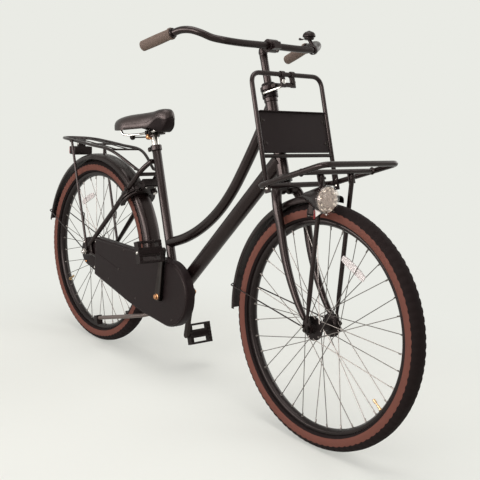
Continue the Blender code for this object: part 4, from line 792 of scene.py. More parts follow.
clamp_o = on_seat(0.7072)
shells = [
    sleeve(mm((-7.2, 10.4), (-7.2, 15), (-6, 16.3), (3, 16.5), (10, 16.3), (11.2, 15), (11.2, 10.4)), clamp_o,
        SEAT_DIR),
    block(sad(0, 0, -0.005), (22, 60, 12), TILT_U, TILT_V),
    turned(mm((0, 5), (1, 7.5), (3, 8.8), (10, 8.8), (12, 7.5), (13, 4)), (0.281, -0.013, 0.701),
        (-0.97, -0.08, -0.09), 28, 2),
    tube(mm((270, -14, 699.5), (235, -16.8, 696), (200, -20, 693)), 0.0022, 14, 1),
    turned(mm((0, 3), (1, 5.5), (3, 7.4), (8, 8.5), (11, 8), (14, 6.2), (16, 3)), (0.205, -0.0195, 0.6935),
        (-1, -0.08, -0.08), 28, 3)]
for s in (-1, 1):
    for q in (-1, 1):
        shells.append(sleeve(both(mm((-3.5, 4.2), (-3.5, 6.4))), sad(q * 0.008, s * 0.0215, -0.0045), TILT_U, 24))
    shells += screw(sad(0, s * 0.03, -0.005), Y * s, 5.2, 3.6, 1, True)
add("saddle_clamp_head", shells, [DARK, DARK, BRONZE, PLASTIC], "saddle", "saddle_clamp", bevel=0.0008)

# Cranks and pedals
CRANK_L, CRANK_A, PEDAL_A = 0.14, radians(6), radians(161)


def crank(tag, s, angle, cy):
    d = vec(sin(angle), 0, cos(angle))
    n = vec(d[2], 0, -d[0])
    c1 = BB + d * CRANK_L
    shells = []
    loops = []
    for t in np.linspace(0, 1, 25):
        p = BB + d * CRANK_L * t
        w = 0.0135 + (0.0088 - 0.0135) * min(1, t * 1.6) + (0.0004 if t > 0.9 else 0)
        th = 0.0055 - 0.0006 * sin(pi * t)
        loops.append(np.array([p + n * w * q + Y * (s * cy + s * th * e) for q, e in both(
            [(-0.86, -1), (-1, -0.7), (-1, 0.7), (-0.86, 1), (-0.3, 0.86)])]))
    shells += [
        loft(loops),
        turned(mm((-5.5, 12), (-4.8, 13.2), (4.8, 13.2), (5.5, 12.4)), BB + Y * s * cy, Y * s, 36),
        turned(both(mm((-5.5, 8.2), (-4.8, 9))), c1 + Y * s * cy, Y * s, 30),
        turned(mm((5, 9.2), (6.8, 9), (7.8, 7.2), (12.2, 6.6), (12.4, 4)), BB + Y * s * cy, Y * s, 30, 1),
        turned(mm((5, 7), (6.2, 6.8), (6.4, 4.7), (89, 4.4), (90.5, 3.6)), c1 + Y * s * cy, Y * s, 24, 2)]
    add("crank_arm_" + tag, shells, [DARK, BRONZE, STEEL], "crankset", "crank_" + tag, bevel=0.0005)
    return c1


def pedal(tag, s, c1, cy, body):
    d = vec(sin(PEDAL_A), 0, cos(PEDAL_A))
    t = vec(d[2], 0, -d[0])
    mid = vec(c1[0], s * (cy + 0.0063 + 0.0415), c1[2])
    shells = []
    for q in (-1, 1):
        shells += [
            block(mid + d * q * 0.0285, (6.2, 82.6, 18.6), d, t),
            block(mid + Y * q * 0.035, (52, 11.8, 18.6), d, t)]
        for e in range(-4, 5):
            for k in (-1, 1):
                shells.append(block(mid + d * q * 0.0288 + Y * e * 0.0092 + t * k * 0.0095, (5.8, 4.4, 1.4), d, t))
        for e in range(-2, 3):
            shells.append(block(mid + d * e * 0.0098 + Y * q * 0.0352, (5, 11, 20.4), d, t, 1))
    shells += [
        block(mid, (25.6, 60, 15), d, t),
        block(mid, (12, 59.6, 19.6), d, t, 1),
        turned(mm((-41.2, 6.6), (-40, 7.2), (39.5, 7.2), (41, 6)), mid, Y * s, 28)]
    add("pedal_block_" + tag, shells, [PLASTIC, TREAD], body, "pedal_" + tag, bevel=0.0007)


pedal("right", -1, crank("right", -1, CRANK_A, 0.0682), 0.0682, "right_pedal")
pedal("left", 1, crank("left", 1, CRANK_A + pi, 0.055), 0.055, "left_pedal")

# Chain case
CASE_X, CASE_OUT = 0.058, 0.06


def case_outline(inset):
    cx, cz, rr, n = 0.464, 0.2625, 0.097 - inset, 48
    pts = [(cx + rr * cos(a), cz + rr * sin(a)) for a in np.radians(90 - 189 * np.arange(n + 1) / n)]
    x0 = CASE_X + inset
    return pts + [(0.34, 0.1765 + inset), (0.2662, 0.1895 + inset), (x0, 0.236 + inset), (x0, 0.295), (x0, cz + rr),
        ((x0 + cx) / 2, cz + rr)]


def at_y(outline, y):
    return np.array([(x, y, z) for x, z in outline])


layers = [(-CASE_OUT + 0.0015, 0.0092), (-CASE_OUT + 0.008, 0.002), (-0.03, 0.0015), (-0.03, 0),
    (-CASE_OUT + 0.0085, 0), (-CASE_OUT + 0.005, 0.0008), (-CASE_OUT + 0.0022, 0.0026),
    (-CASE_OUT + 0.0006, 0.0052), (-CASE_OUT, 0.0085)]
shells = [loft([at_y(case_outline(q), y) for y, q in layers], caps=False)]
# Flat side with a round hole for the spindle, from the outline inwards
centre = np.array((BB_X, BB_Z))
face = [np.array(p) for p in case_outline(0.0085)]
start = int(np.argmin([abs(atan2(z, x)) for x, z in np.array(face) - centre]))
face = face[start:] + face[:start]
if face[1][1] < face[0][1]:
    face = face[:1] + face[:0:-1]
hole = [centre + unit(p - centre) * 0.015 for p in face]
rings = [at_y([h + (p - h) * q for p, h in zip(face, hole)], -CASE_OUT) for q in (1, 0.93, 0.8, 0.5, 0.2, 0)]
v, f, m = loft(rings, caps=False)
if np.cross(v[f[0][1]] - v[f[0][0]], v[f[0][2]] - v[f[0][1]])[1] > 0:
    f = [q[::-1] for q in f]
shells += [
    (v, f, m),
    sleeve(mm((0, 15), (0.4, 16.2), (1.6, 16.2), (2, 15.2), (2, 15)), (BB_X, -CASE_OUT + 0.001, BB_Z), -Y)]
for x, z in ((0.15, 0.242), (0.305, 0.213), (0.495, 0.19), (0.23, 0.348), (0.4, 0.348)):
    shells += screw((x, -CASE_OUT + 0.0002, z), -Y, 3.4, 1.2, 1)
shells += [
    tube([(0.062, -CASE_OUT, 0.3135), (0.13, -CASE_OUT, 0.299), (0.203, -CASE_OUT, 0.284)], 0.0008, 8, 0),
    *screw((0.2051, -CASE_OUT + 0.0002, 0.2836), -Y, 3.6, 1.6, 1),
    ring_tube([(x, -CASE_OUT + 0.0014, z) for x, z in case_outline(0.0046)], 0.0012, Y, 8, 2)]
add("chain_case_shell", shells, [CASE, DARK, PAINT], "frame", "chain_case", sharp=30)


def cap_outline(inset):
    r = 0.047 - inset
    return arc(0, r, np.linspace(95, 265, 36)) + [(CASE_X - 0.0004 - inset, 0.24 + inset),
        (CASE_X - 0.0004 - inset, 0.356 - inset)]


shells = [
    loft([at_y(cap_outline(q), y) for y, q in ((-0.03, 0.0012), (-0.03, 0), (-0.0448, 0), (-0.0458, 0.0008),
        (-0.0462, 0.0024))]),
    turned(mm((0, 19), (0.8, 20), (1.6, 19)), (0, -0.0455, WHEEL_R), -Y, 36)]
for x, z, mat in ((-0.0327, 0.3269, 1), (-0.0164, 0.2654, 2), (0.04, 0.342, 1), (0.04, 0.256, 1)):
    shells += screw((x, -0.046, z), -Y, 4.2, 2.2, mat, mat == 2)
add("case_rear_cover", shells, [CASE, STEEL, BRONZE], "frame", "chain_case_rear_cap", sharp=30)


# Mudguards
def fender(cx, a0, a1):
    across = [-1 + k / 12 for k in range(25)]
    outer = [(FENDER_HALF * sin(q * pi / 2), FENDER_R - 0.018 * abs(q) ** 3) for q in across]
    ang = np.radians(np.linspace(a0, a1, 120))
    shells = [loft(wheel_loops(outer + [(y * 0.955, r - 0.0013) for y, r in reversed(outer)], cx, ang))]
    for s in (-1, 1):
        edge = np.concatenate(wheel_loops([(s * (FENDER_HALF - 0.0006), FENDER_R - 0.0176)], cx, ang))
        shells.append(tube(edge, 0.0012, 8, round_ends=0.001))
    return shells


def fender_stay(cx, angle, r_hub, y_hub):
    wire, spread = 0.0018, 0.0325
    d = polar(radians(angle))
    c = vec(cx, 0, WHEEL_R)
    far = c + d * (FENDER_R + wire + 0.0004)
    half = [c + d * r_hub + Y * y_hub, c + d * (r_hub + 0.012) + Y * y_hub, c + d * (FENDER_R - 0.03) + Y * spread,
        c + d * (FENDER_R - 0.006) + Y * spread, far + Y * spread * 0.62]
    other = [p * vec(1, -1, 1) for p in reversed(half)]
    shells = [tube(bend(half + other, 0.008, 6), wire, 12)]
    for s in (-1, 1):
        shells += [
            turned(mm((0, 4.2), (2.6, 4.2)), c + d * (r_hub + 0.002) + Y * s * (y_hub - 0.0013), Y * s, 20),
            *screw(c + d * (r_hub + 0.002) + Y * s * (y_hub + 0.0014), Y * s, 3.4, 2.2, 1, True)]
    return shells


for tag, cx, a0, a1, body in (("rear", 0, -1.5, 169, "frame"), ("front", WHEELBASE, 88, 184.6, "steering")):
    add(tag + "_mudguard", fender(cx, a0, a1), [PAINT], body, tag + "_fender", sharp=60)
for tag, cx, a, r_hub, y_hub, body in (("front", WHEELBASE, 172.8, 0.018, 0.05, "steering"),
        ("rear", 0, 163, 0.0125, 0.0564, "frame")):
    add(tag + "_mudguard_stay", fender_stay(cx, a, r_hub, y_hub), [PAINT, STEEL], body, tag + "_fender_stay")

# Front carrier
PA = radians(19.5)
PLAT_DIR, PLAT_UP = polar(PA), vec(-sin(PA), 0, cos(PA))
PLAT_O = vec(0.9074, 0, 0.6326)
PLAT_L, PLAT_HALF = 0.22, 0.127


def plat(s, y, up=0):
    return PLAT_O + PLAT_DIR * s + PLAT_UP * up + Y * y


def rounded_loop(corners, radius, n=9):
    """A closed line with rounded corners"""
    out = []
    for i in range(len(corners)):
        p, a, b = corners[i], unit(corners[i - 1] - corners[i]), unit(corners[(i + 1) % len(corners)] - corners[i])
        for k in range(n + 1):
            t = k / n
            out.append((p + a * radius) * (1 - t) ** 2 + p * 2 * t * (1 - t) + (p + b * radius) * t * t)
    return out


def weld(p, axis, r):
    return turned([(-0.0016, r), (-0.0008, r + 0.0012), (0.0008, r + 0.0012), (0.0016, r)], p, axis, 24)


corners = [plat(0, -PLAT_HALF), plat(PLAT_L, -PLAT_HALF), plat(PLAT_L, PLAT_HALF), plat(0, PLAT_HALF)]
shells = [
    ring_tube(rounded_loop(corners, 0.022), 0.0068, PLAT_UP, 20),
    tube([plat(0.142, -PLAT_HALF + 0.004), plat(0.142, PLAT_HALF - 0.004)], 0.006, 20)]
for s in (-1, 1):
    shells.append(turned(mm((0, 9.5), (1, 8.4), (3.4, 6)), plat(0.142, s * (PLAT_HALF - 0.0068)), -Y * s, 24))
shells.append(weld(plat(0, -0.03), Y, 0.0068))
add("platform_tubes", shells, [PAINT], "steering", "carrier_platform", sharp=50)

LEG_Y = 0.0516
LEG_AXIS = unit((0.0383, 0, 1))


def leg_pt(z):
    return vec(1.0279 + (z - 0.33) * 0.0383, LEG_Y, z)


for tag, s in SIDES:
    line = on_side([leg_pt(z) for z in (0.318, 0.332, 0.35, 0.372, 0.5, 0.62, 0.6725)], s)
    shells = [tube(line, [0.0033, 0.0036, 0.0046] + [0.0058] * 4, 20)]
    ring = arc(WHEELBASE, 0.0105, np.linspace(150, 390, 22))
    shells.append(
        plate(ring + [(WHEELBASE + 0.0022, WHEEL_R + 0.024), (WHEELBASE - 0.008, WHEEL_R + 0.024)], s * 0.0484,
            s * 0.0516))
    e = Y * s * LEG_Y
    shells += [
        block(plat(0.1335, 0, -0.012) + e, (4, 20, 30), PLAT_DIR, PLAT_UP),
        block(plat(0.1373, 0, -0.014) + e, (9.8, 16, 6), PLAT_DIR, PLAT_UP),
        *screw(plat(0.132, 0) + e, -PLAT_DIR, 4.8, 3, 1, True),
        *screw(plat(0.132, 0, -0.016) + e, -PLAT_DIR, 4, 2.6, 1, True)]
    add("carrier_leg_tube_" + tag, shells, [PAINT, DARK], "steering", "carrier_leg_" + tag, sharp=40)

LOW, TOP = vec(0.9236, 0, 0.648), vec(0.845, 0, 0.8982)
HOOP_DIR, HOOP_LEN = unit(TOP - LOW), float(np.linalg.norm(TOP - LOW))
HOOP_N = vec(HOOP_DIR[2], 0, -HOOP_DIR[0])
HOOP_Y = 0.1182


def hoop(t, y=0, n=0):
    return LOW + HOOP_DIR * t + HOOP_N * n + Y * y


path = [hoop(-0.012, -HOOP_Y), hoop(HOOP_LEN, -HOOP_Y), hoop(HOOP_LEN, HOOP_Y), hoop(-0.012, HOOP_Y)]
shells = [
    tube(bend(path, 0.03, 12), 0.0058, 20, 0, round_ends=0.002),
    tube([hoop(0.059, -HOOP_Y + 0.003), hoop(0.059, HOOP_Y - 0.003)], 0.0046, 18)]
for s in (-1, 1):
    tab_c = LOW + vec(0.004, s * 0.1176, -0.008)
    shells.append(block(tab_c, (18, 3.2, 42), HOOP_N, HOOP_DIR))
    for p in (tab_c - HOOP_DIR * 0.01, tab_c + HOOP_DIR * 0.006):
        shells += [
            *screw(p + Y * s * 0.0016, Y * s, 4.2, 2.4, 1, True),
            *screw(p - Y * s * 0.0016, -Y * s, 3.8, 1.6, 1)]
add("hoop_tube", shells, [PAINT, STEEL], "steering", "carrier_hoop", bevel=0, sharp=50)

# Panel with a turned lip above and below and small slots near its sides
PANEL_T, PANEL_H, PANEL_W = 0.1175, 0.103, 0.2242
outer = []
rr = 0.004
for sy, st, a0 in ((1, 1, 0), (-1, 1, 90), (-1, -1, 180), (1, -1, 270)):
    for k in range(5):
        a = radians(a0 + 22.5 * k)
        outer.append((sy * (PANEL_W / 2 - rr) + rr * cos(a), st * (PANEL_H / 2 - rr) + rr * sin(a)))
shells = [loft([np.array([hoop(PANEL_T + t * q, y * q, n) for y, t in outer])
    for n, q in ((-0.0012, 0.997), (-0.0009, 1), (0.0009, 1), (0.0012, 0.997))])]
for q in (-1, 1):
    shells.append(
        block(hoop(PANEL_T + q * (PANEL_H / 2 - 0.0013), 0, 0.003), (7, (PANEL_W - 0.004) * 1000, 2.4), HOOP_N,
            HOOP_DIR))
for s in (-1, 1):
    for t in (PANEL_T + PANEL_H * 0.27, PANEL_T - PANEL_H * 0.27):
        shells += [
            block(hoop(t, s * (PANEL_W / 2 - 0.005), 0.0014), (1.2, 2.6, 16), HOOP_N, HOOP_DIR, 1),
            turned(mm((0, 3.6), (0.8, 3.4), (1.4, 2.2)), hoop(t, s * (PANEL_W / 2 - 0.012), 0.0012), HOOP_N, 20, 2)]
add("panel_sheet", shells, [CASE, DARK, DARK], "steering", "carrier_panel", sharp=15)

# Bracket between hoop and steering
COLLAR = on_axis(0.158)
BR_T = HOOP_LEN
shells = []
for s in (-1, 1):
    shells += [
        sleeve(both(mm((-6, 6.2), (-6, 8), (-5.2, 8.6))), hoop(BR_T, s * 0.0165), Y, 28, 3),
        block(hoop(BR_T - 0.02, s * 0.0165), (5, 15, 25), HOOP_N, HOOP_DIR, 3),
        turned(mm((0, 6.2), (1.6, 6.6), (3, 5.4), (3.6, 2.8)), hoop(BR_T - 0.019, s * 0.0165, 0.0025), HOOP_N, 24,
            1 if s < 0 else 0)]
shells += [
    block(hoop(BR_T - 0.026), (4.4, 40, 11), HOOP_N, HOOP_DIR, 3),
    tube([hoop(BR_T - 0.027, -0.009, -0.002), (0.806, -0.025, 0.854), (0.793, -0.0262, 0.8498)], 0.0026, 14, 2,
        round_ends=0.001),
    turned(mm((0, 5.8), (1.6, 6.2), (3.6, 5), (4, 2)), (0.7915, -0.0225, 0.848), (-0.35, -0.94, 0), 22),
    tube([hoop(BR_T - 0.026), COLLAR + STEER_FWD * 0.027], 0.004, 16, 0),
    block(COLLAR + STEER_FWD * 0.0265, (14, 20, 9), STEER_FWD, STEER_UP),
    sleeve(both(mm((-5, 19.3), (-5, 21.6), (-4.2, 22.2))), COLLAR, STEER_UP, 40, 3)]
add("carrier_stay_clamp", shells, [DARK, STEEL, CHROME, PAINT], "steering", "carrier_bracket", bevel=0.0006)

# Front lamp
LAMP = vec(1.093, -0.0805, 0.6236)
clamp_c = leg_pt(0.59) * vec(1, -1, 1)
shells = [
    sleeve(both(mm((-8, 6.7), (-8, 9), (-7, 9.5))), clamp_c, LEG_AXIS, 28),
    block((1.0395, -0.066, 0.59), (12, 14, 12)),
    block((1.04, -0.0755, 0.594), (14, 9, 20)),
    turned(mm((0, 4), (2, 8.2), (4, 9.5), (10, 8.8), (16, 9.5), (18, 7)), (1.0318, -0.0575, 0.586),
        (-0.72, -0.69, 0), 24, 1),
    *screw((1.021, -0.065, 0.579), (0.72, -0.69, 0), 4, 2.6, 2),
    block((1.015, -0.059, 0.58), (12, 8.5, 20), (0.72, -0.69, 0), (0, 0, 1), 1)]
red = mm((1040.5, -74.5, 599), (1046.2, -74.8, 592), (1048.5, -74.8, 583), (1047.8, -74.5, 573.5))
shells += [
    tube(spline(red, 5), 0.0024, 12, 3, round_ends=0.001),
    plate([(1.0431, 0.5975), (1.0681, 0.5901), (1.05, 0.5775)], -0.0738, -0.0724, 4)]
add("lamp_mount", shells, [DARK, PLASTIC, STEEL, RED, WHITE], "steering", "front_lamp_bracket", bevel=0.0006)
prof = mm((-76, 0.2), (-75.7, 3), (-74, 8), (-60, 13.5), (-42, 21.2), (-25, 27.8), (-14, 30.4), (-6, 31.4),
    (-5, 30.8))
shells = [
    turned(prof + mm((-6, 29.5), (-10, 28.8)), LAMP, X, 48),
    turned(
        mm((-30, 1), (-29, 8), (-25, 15), (-18, 21.5), (-9, 26.8), (-6.2, 28.2), (-6.4, 28.8), (-20, 24), (-31, 10),
            (-32, 1)),
        LAMP,
        X,
        48,
        1)]
# Most facets and the inner optic below take the optic material, whose colour carries painted glints and reflections
for row, (r, depth, n) in enumerate(((0.0222, -0.0004, 26), (0.0268, -0.001, 32))):
    for k in range(n):
        a = 2 * pi * (k + 0.5 * row) / n
        d = Y * cos(a) + Z * sin(a)
        tilt = unit(X - d * (0.2 + 0.3 * sin(3.7 * k + row)))
        shells.append(block(LAMP + X * depth + d * r, (1.2, 2 * pi * r / n * 0.96 * 1000, 4.6), tilt, d,
            2 if (k * 7 + row) % 3 else 1))
shells += [
    turned(
        mm((-9, 12), (-8, 28.6), (-3.2, 29), (-1.6, 20), (-0.4, 19.6), (0.6, 18.6), (1, 13), (2.4, 12), (3, 6),
            (1.6, 4), (1.2, 0.4)),
        LAMP,
        X,
        40,
        2),
    *screw(LAMP + vec(-0.002, 0, -0.0335), X, 2.4, 1.6, 3)]
for s in (-1, 1):
    shells.append(block(LAMP + vec(0.001, s * 0.027, 0.001), (1.6, 4, 5), unit(X - Y * s * 0.25), (0, 0, 1), 4))
add("lamp_shell", shells, [PAINT, CHROME, OPTIC_PAINTED_GLINTS, STEEL, WHITE], "steering", "front_lamp_housing", sharp=20)
front = mm((-8.2, 31.8), (-7.6, 32.4), (2, 32.6), (4, 31.8), (5, 29.6), (5.2, 26.2), (6, 24), (8.4, 22.5),
    (9.5, 19.5), (10.5, 14), (11.2, 8), (11.4, 0.2))
back = mm((9.6, 0.2), (9.2, 8), (8.2, 14), (7.2, 19), (5.6, 21.4), (3.8, 23.2), (3.2, 26.2), (2.8, 29), (1, 30),
    (-4.5, 30.4), (-8.2, 31.5))
add("lamp_glass", [turned(front + back, LAMP, X, 56)], [LENS], "steering", "front_lamp_lens", sharp=50)

# Rear rack
half = mm((245, 30, 598.5), (135, 55.5, 646.5), (20, 57, 654), (-80, 57, 658.5), (-150, 54, 660.5),
    (-195, 40, 660.5), (-215, 18, 660), (-218, 0, 660))
whole = on_side(half, -1) + on_side(half[-2::-1], 1)
shells = [tube(spline(whole, 10), 0.0048, 18, 0, round_ends=0.003)]
for x, z, w in ((0, 0.6555, 0.057), (-0.148, 0.6604, 0.054), (0.115, 0.6482, 0.056)):
    shells.append(tube([(x, -w, z), (x, w, z)], 0.003, 16))
for y in (-0.022, 0.022):
    shells.append(
        tube(spline([(-0.176, y, 0.6604), (-0.148, y, 0.6606), (0, y, 0.6555), (0.115, y, 0.6484)], 8),
            0.002, 12))
shells += [
    tube([(0, 0, 0.6555), (0, 0, 0.6244)], 0.0035, 16),
    tube(mm((-176, -45.5, 660.4), (-176, 45.5, 660.4)), 0.0024, 14)]
for s in (-1, 1):
    shells += [
        *screw((0.24, s * 0.0345, 0.6007), Y * s, 4.4, 2.6, 1, True),
        tube([(0.242, s * 0.0303, 0.5998), (0.256, s * 0.0312, 0.5975), (0.267, s * 0.0318, 0.5965)], 0.0044, 16)]
add("rack_top_tubes", shells, [PAINT, DARK], "frame", "rear_rack", sharp=50)
for tag, s in SIDES:
    pts = bend(mm((-105, 61.2, 660), (-100, 61.2, 645), (2, 59.8, 334), (5, 59, 314)), 0.01, 6)
    sh = [tube(on_side(pts, s), [0.0042] * (len(pts) - 2) + [0.0036, 0.0032], 18)]
    ring = arc(0, 0.0095, np.linspace(150, 400, 20))
    sh.append(plate(ring + [(0.008, WHEEL_R + 0.018), (-0.002, WHEEL_R + 0.018)], s * 0.0575, s * 0.0605))
    hook = bend(mm((-29, 60.3, 430), (-11, 61.2, 428), (-12, 61.2, 404)), 0.004, 5)
    sh += [
        tube(on_side(hook, s), 0.002, 12, round_ends=0.0012),
        *screw((-0.104, s * 0.0648, 0.657), Y * s, 4.4, 2.4, 1, True)]
    add("rack_stay_bar_" + tag, sh, [PAINT, DARK], "frame", "rack_stay_" + tag, sharp=50)

# Rear lamp
RL = vec(-0.148, 0, 0.6215)


def lamp_loop(q, z):
    pts = mm((15, -32), (15, 32), (13, 34.5), (-15, 35), (-15, -35), (13, -34.5))
    return np.array([RL + vec(x * (1 - q), y * (1 - q), z) for x, y in pts])


shells = [
    loft([lamp_loop(q, z)
        for z, q in ((-0.0135, 0.05), (-0.0128, 0.012), (-0.0115, 0), (0.0115, 0), (0.0128, 0.012), (0.0135, 0.05))]),
    block((-0.148, 0, 0.6455), (12, 26, 23.2)),
    tube(mm((-148, -13.3, 656), (-148, 13.3, 656)), 0.0058, 20),
    *screw((-0.148, -0.0126, 0.644), -Y, 3.6, 1.8, 1)]
add("rear_lamp_box", shells, [PLASTIC, STEEL], "frame", "rear_lamp_body", bevel=0.0006)
half = mm((-163.4, -34), (-169, -33.7), (-171, -32.5), (-172.2, -22), (-172.8, -10))
lens_xy = half + mm((-173, 0)) + [(x, -y) for x, y in reversed(half)]
loops = []
for z, q in ((0.609, 0.965), (0.6096, 0.985), (0.611, 1), (0.632, 1), (0.6334, 0.985), (0.634, 0.965)):
    loops.append(np.array([(-0.1634 + (x + 0.1634) * (q if q == 1 else q * 0.93), y * q, z) for x, y in lens_xy]))
add("rear_lamp_glass", [loft(loops)], [RED], "frame", "rear_lamp_lens", sharp=45)

# Ring lock
LA = radians(44)
LR, LT = polar(LA), vec(sin(LA), 0, -cos(LA))
LOCK_O = vec(0, 0, WHEEL_R) + LR * 0.286


def lock_pt(phi, rho, w):
    a = radians(phi)
    return LOCK_O + (LR * cos(a) + Y * sin(a)) * rho + LT * w


section = mm((-7.8, 43), (7.8, 43), (7.8, 56.2), (7, 57), (2.2, 57), (2.2, 55.6), (5, 55.6), (5, 44.3), (-5, 44.3),
    (-5, 55.6), (-2.2, 55.6), (-2.2, 57), (-7, 57), (-7.8, 56.2))
shells = [loft([np.array([lock_pt(p, rho, w) for w, rho in section]) for p in np.linspace(-112, 112, 90)])]
BOX = LOCK_O + LR * 0.08
shells += [
    block(BOX + Y * 0.002, (24, 48, 22), LT, LR),
    block(BOX + Y * 0.002 + LT * 0.0128, (2.2, 40, 15), LT, LR),
    block(LOCK_O + LR * 0.064 + Y * 0.004, (19, 36, 18), LT, LR),
    turned(mm((0, 9.8), (11, 9.8), (12.4, 8.8), (12.8, 6)), lock_pt(24, 0.064, 0.008), LT, 28),
    turned(mm((12.8, 5.8), (13.6, 5.8), (13.8, 4)), lock_pt(24, 0.064, 0.008), LT, 24, 2)]
for s in (-1, 1):
    shells += [
        block(LOCK_O + LR * 0.03 + Y * s * 0.0455 - LT * 0.0155, (20, 10, 14), LT, LR),
        tube([BOX + Y * s * 0.02 - LT * 0.006, BOX + Y * s * 0.03 - LT * 0.012 - LR * 0.004], 0.0034, 14, 0),
        *screw(LOCK_O + LR * 0.03 + Y * s * 0.0505 - LT * 0.0155, Y * s, 4, 2.2, 1, True)]
for y in (-0.014, 0.018):
    shells += screw(BOX + Y * y + LT * 0.0138, LT, 3.2, 1, 2)
add("lock_housing", shells, [PLASTIC, DARK, STEEL], "frame", "ring_lock_body", bevel=0.0008)
shells = [
    tube([lock_pt(p, 0.0504, 0) for p in np.linspace(-34, 116, 60)], 0.0042, 16, 0, round_ends=0.003),
    block(lock_pt(-28, 0.06, 0), (3.6, 8, 20), LT, lock_pt(-28, 1, 0) - LOCK_O, 0),
    block(lock_pt(-28, 0.068, 0), (12, 10, 8), LT, lock_pt(-28, 1, 0) - LOCK_O, 1)]
add("lock_shackle", shells, [STEEL, PLASTIC], "lock_bar", "ring_lock_shackle", bevel=0.0008)

# Centre stand
ahead, above = vec(0.96, 0, 0.28), vec(-0.28, 0, 0.96)
leg = mm((380, 21.8, 226), (362, 21.8, 190), (344, 22.6, 170), (316, 39, 159), (275, 52, 148), (128, 60, 108.5),
    (98, 60.5, 100))
shells = []
for s in (-1, 1):
    shoe = vec(0.095, s * 0.0605, 0.093)
    shells += [tube(on_side(bend(leg, 0.014, 6), s), 0.0064, 20, 3), block(shoe, (18, 20, 30), ahead, above, 1)]
    for k in range(3):
        shells.append(block(shoe - above * (0.0095 - 0.005 * k), (19.2, 21.2, 1.8), ahead, above, 1))
    shells += [
        turned(mm((0, 8.6), (1.2, 9.4), (4, 9.4), (5.2, 8)), (0.38, s * 0.0186, 0.226), Y * s, 28),
        *screw((0.38, s * 0.0235, 0.226), Y * s, 6.6, 3.4, 2, True)]
shells.append(tube(mm((380, -23.5, 226), (380, 23.5, 226)), 0.0042, 18, 2))
add("stand_legs", shells, [PAINT, PLASTIC, STEEL, STAND_GREY], "stand", "centre_stand", sharp=40)
shells = [
    turned(both(mm((-14.5, 8.6), (-13.7, 9.5))), (0.38, 0, 0.226), Y, 32),
    block((0.376, 0, 0.246), (24, 29, 36)),
    *screw((0.376, -0.0145, 0.25), -Y, 5, 3.2, 1, True)]
add("stand_bridge_plate", shells, [PAINT, DARK], "frame", "stand_hanger", bevel=0.0008)


# The solids that stay visible take a material
for solid, mat in (("chain", CHAINMAT), ("chainring", CHAINMAT), ("rear_sprocket", CHAINMAT),
        ("crank_spindle", DARK)):
    slots = NODES[solid].data.materials
    for i in range(len(slots)):
        slots[i] = mat

# Floor and backdrop in one pale colour
PALE = lin(234, 235, 229)
FLOOR_SHARE = 0.45


def seen_rays(nt):
    """One for the rays that show the backdrop, to the camera or in metal and glass"""
    path = node(nt, "LightPath")
    one = node(nt, "Math", {0: path["Is Camera Ray"], 1: path["Is Glossy Ray"]}, operation="MAXIMUM")[0]
    return node(nt, "Math", {0: one, 1: path["Is Transmission Ray"]}, operation="MAXIMUM")[0]


def floor_material():
    """Pale and dull near the bike, for its shadow, and glowing like the backdrop further out"""
    mat, nt, skin = material("pale_floor", PALE)
    at = node(nt, "TexCoord")["Object"]
    away = node(nt, "VectorMath", {0: at}, operation="LENGTH")["Value"]
    far = node(nt, "MapRange", {"From Min": 0.55, "From Max": 1.35, "To Min": FLOOR_SHARE, "Value": away},
        interpolation_type="SMOOTHSTEP")["Result"]
    grain = node(nt, "TexNoise", {"Scale": 60, "Vector": at})["Fac"]
    tone = blend(nt, grain, [c * 0.99 for c in PALE], [c * 1.01 for c in PALE])
    feed(nt, skin, {"Base Color": tone, "Roughness": 0.9, "Specular IOR Level": 0})
    glow = node(nt, "Emission", {"Color": (*PALE, 1)})[0]
    share = node(nt, "Math", {0: far, 1: seen_rays(nt)}, operation="MULTIPLY")[0]
    feed(nt, nt.nodes["Material Output"],
        {"Surface": node(nt, "MixShader", {0: share, 1: skin.outputs[0], 2: glow})[0]})
    return mat


me = bpy.data.meshes.new("floor")
me.from_pydata([(-40, -40, -0.0005), (40, -40, -0.0005), (40, 40, -0.0005), (-40, 40, -0.0005)], [], [(0, 1, 2, 3)])
me.materials.append(floor_material())
floor = bpy.data.objects.new("floor", me)
bpy.context.scene.collection.objects.link(floor)

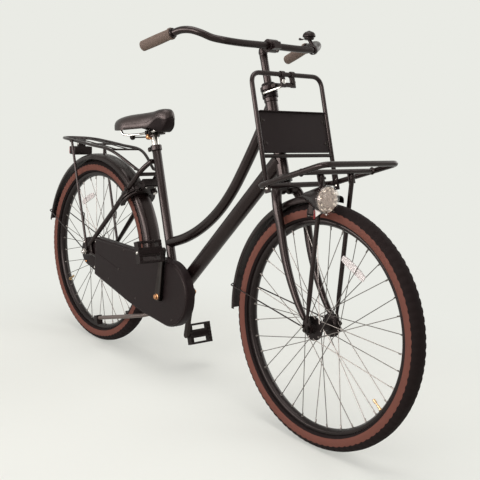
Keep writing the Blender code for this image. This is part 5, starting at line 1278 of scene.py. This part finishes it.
scene = bpy.context.scene
world = bpy.data.worlds.new("studio")
scene.world = world
world.use_nodes = True
nt = world.node_tree
nt.nodes.clear()
seen = node(nt, "Background", {"Color": (*PALE, 1)})[0]
soft = node(nt, "Background", {"Color": (1, 0.985, 0.97, 1), "Strength": 0.22})[0]
node(nt, "OutputWorld", {"Surface": node(nt, "MixShader", {0: seen_rays(nt), 1: soft, 2: seen})[0]})


def area(name, at, to, size, power, color=(1, 1, 1)):
    li = bpy.data.lights.new(name, "AREA")
    li.shape = "RECTANGLE"
    li.size, li.size_y = size
    li.energy = power
    li.color = color
    ob = bpy.data.objects.new(name, li)
    scene.collection.objects.link(ob)
    ob.location = at
    ob.rotation_mode = "QUATERNION"
    ob.rotation_quaternion = (Vector(to) - Vector(at)).to_track_quat("-Z", "Y")
    return ob


area("top_light", (0.2, -0.5, 3.4), (0, 0, 0.3), (2.6, 2.6), 78, (1, 0.985, 0.97))
area("side_light", (-1.4, -3, 0.95), (0, 0, 0.45), (1.4, 1.6), 28, (1, 0.93, 0.91))
area("key_light", (1.15, -2.75, 1.25), (0, 0, 0.5), (0.9, 1.8), 30, (1, 0.95, 0.93))
area("front_light", (3.2, -0.7, 2.2), (0.2, 0, 0.5), (0.7, 1.5), 16, (1, 0.955, 0.94))
# A reflector card that only gives the long highlights on painted tubes
card = area("side_card", (-0.2, -3.1, 1.15), (-0.2, 0, 0.75), (3.6, 1.1), 115, (1, 0.95, 0.93))
card.visible_diffuse = False
area("left_fill", (0.6, 3, 1.7), (0, 0, 0.45), (2.4, 1.6), 30, (1, 0.985, 0.97))

# Camera at the photo's view
right, up_c, fwd = vec(0.64467, 0.76221, 0.0586), vec(-0.17138, 0.0694, 0.98275), vec(-0.745, 0.6436, -0.17537)
fwd = unit(fwd)
right = unit(np.cross(fwd, up_c))
up_c = np.cross(right, fwd)
cam = bpy.data.cameras.new("camera")
cam.lens, cam.sensor_width = 62.663, 36
cam.clip_start, cam.clip_end = 0.05, 200
co = bpy.data.objects.new("camera", cam)
scene.collection.objects.link(co)
co.matrix_world = Matrix([[right[i], up_c[i], -fwd[i], (2.37601 + SHIFT, -1.44249, 0.85232)[i]]
    for i in range(3)] + [[0, 0, 0, 1]])
scene.camera = co
scene.view_settings.view_transform = "Standard"
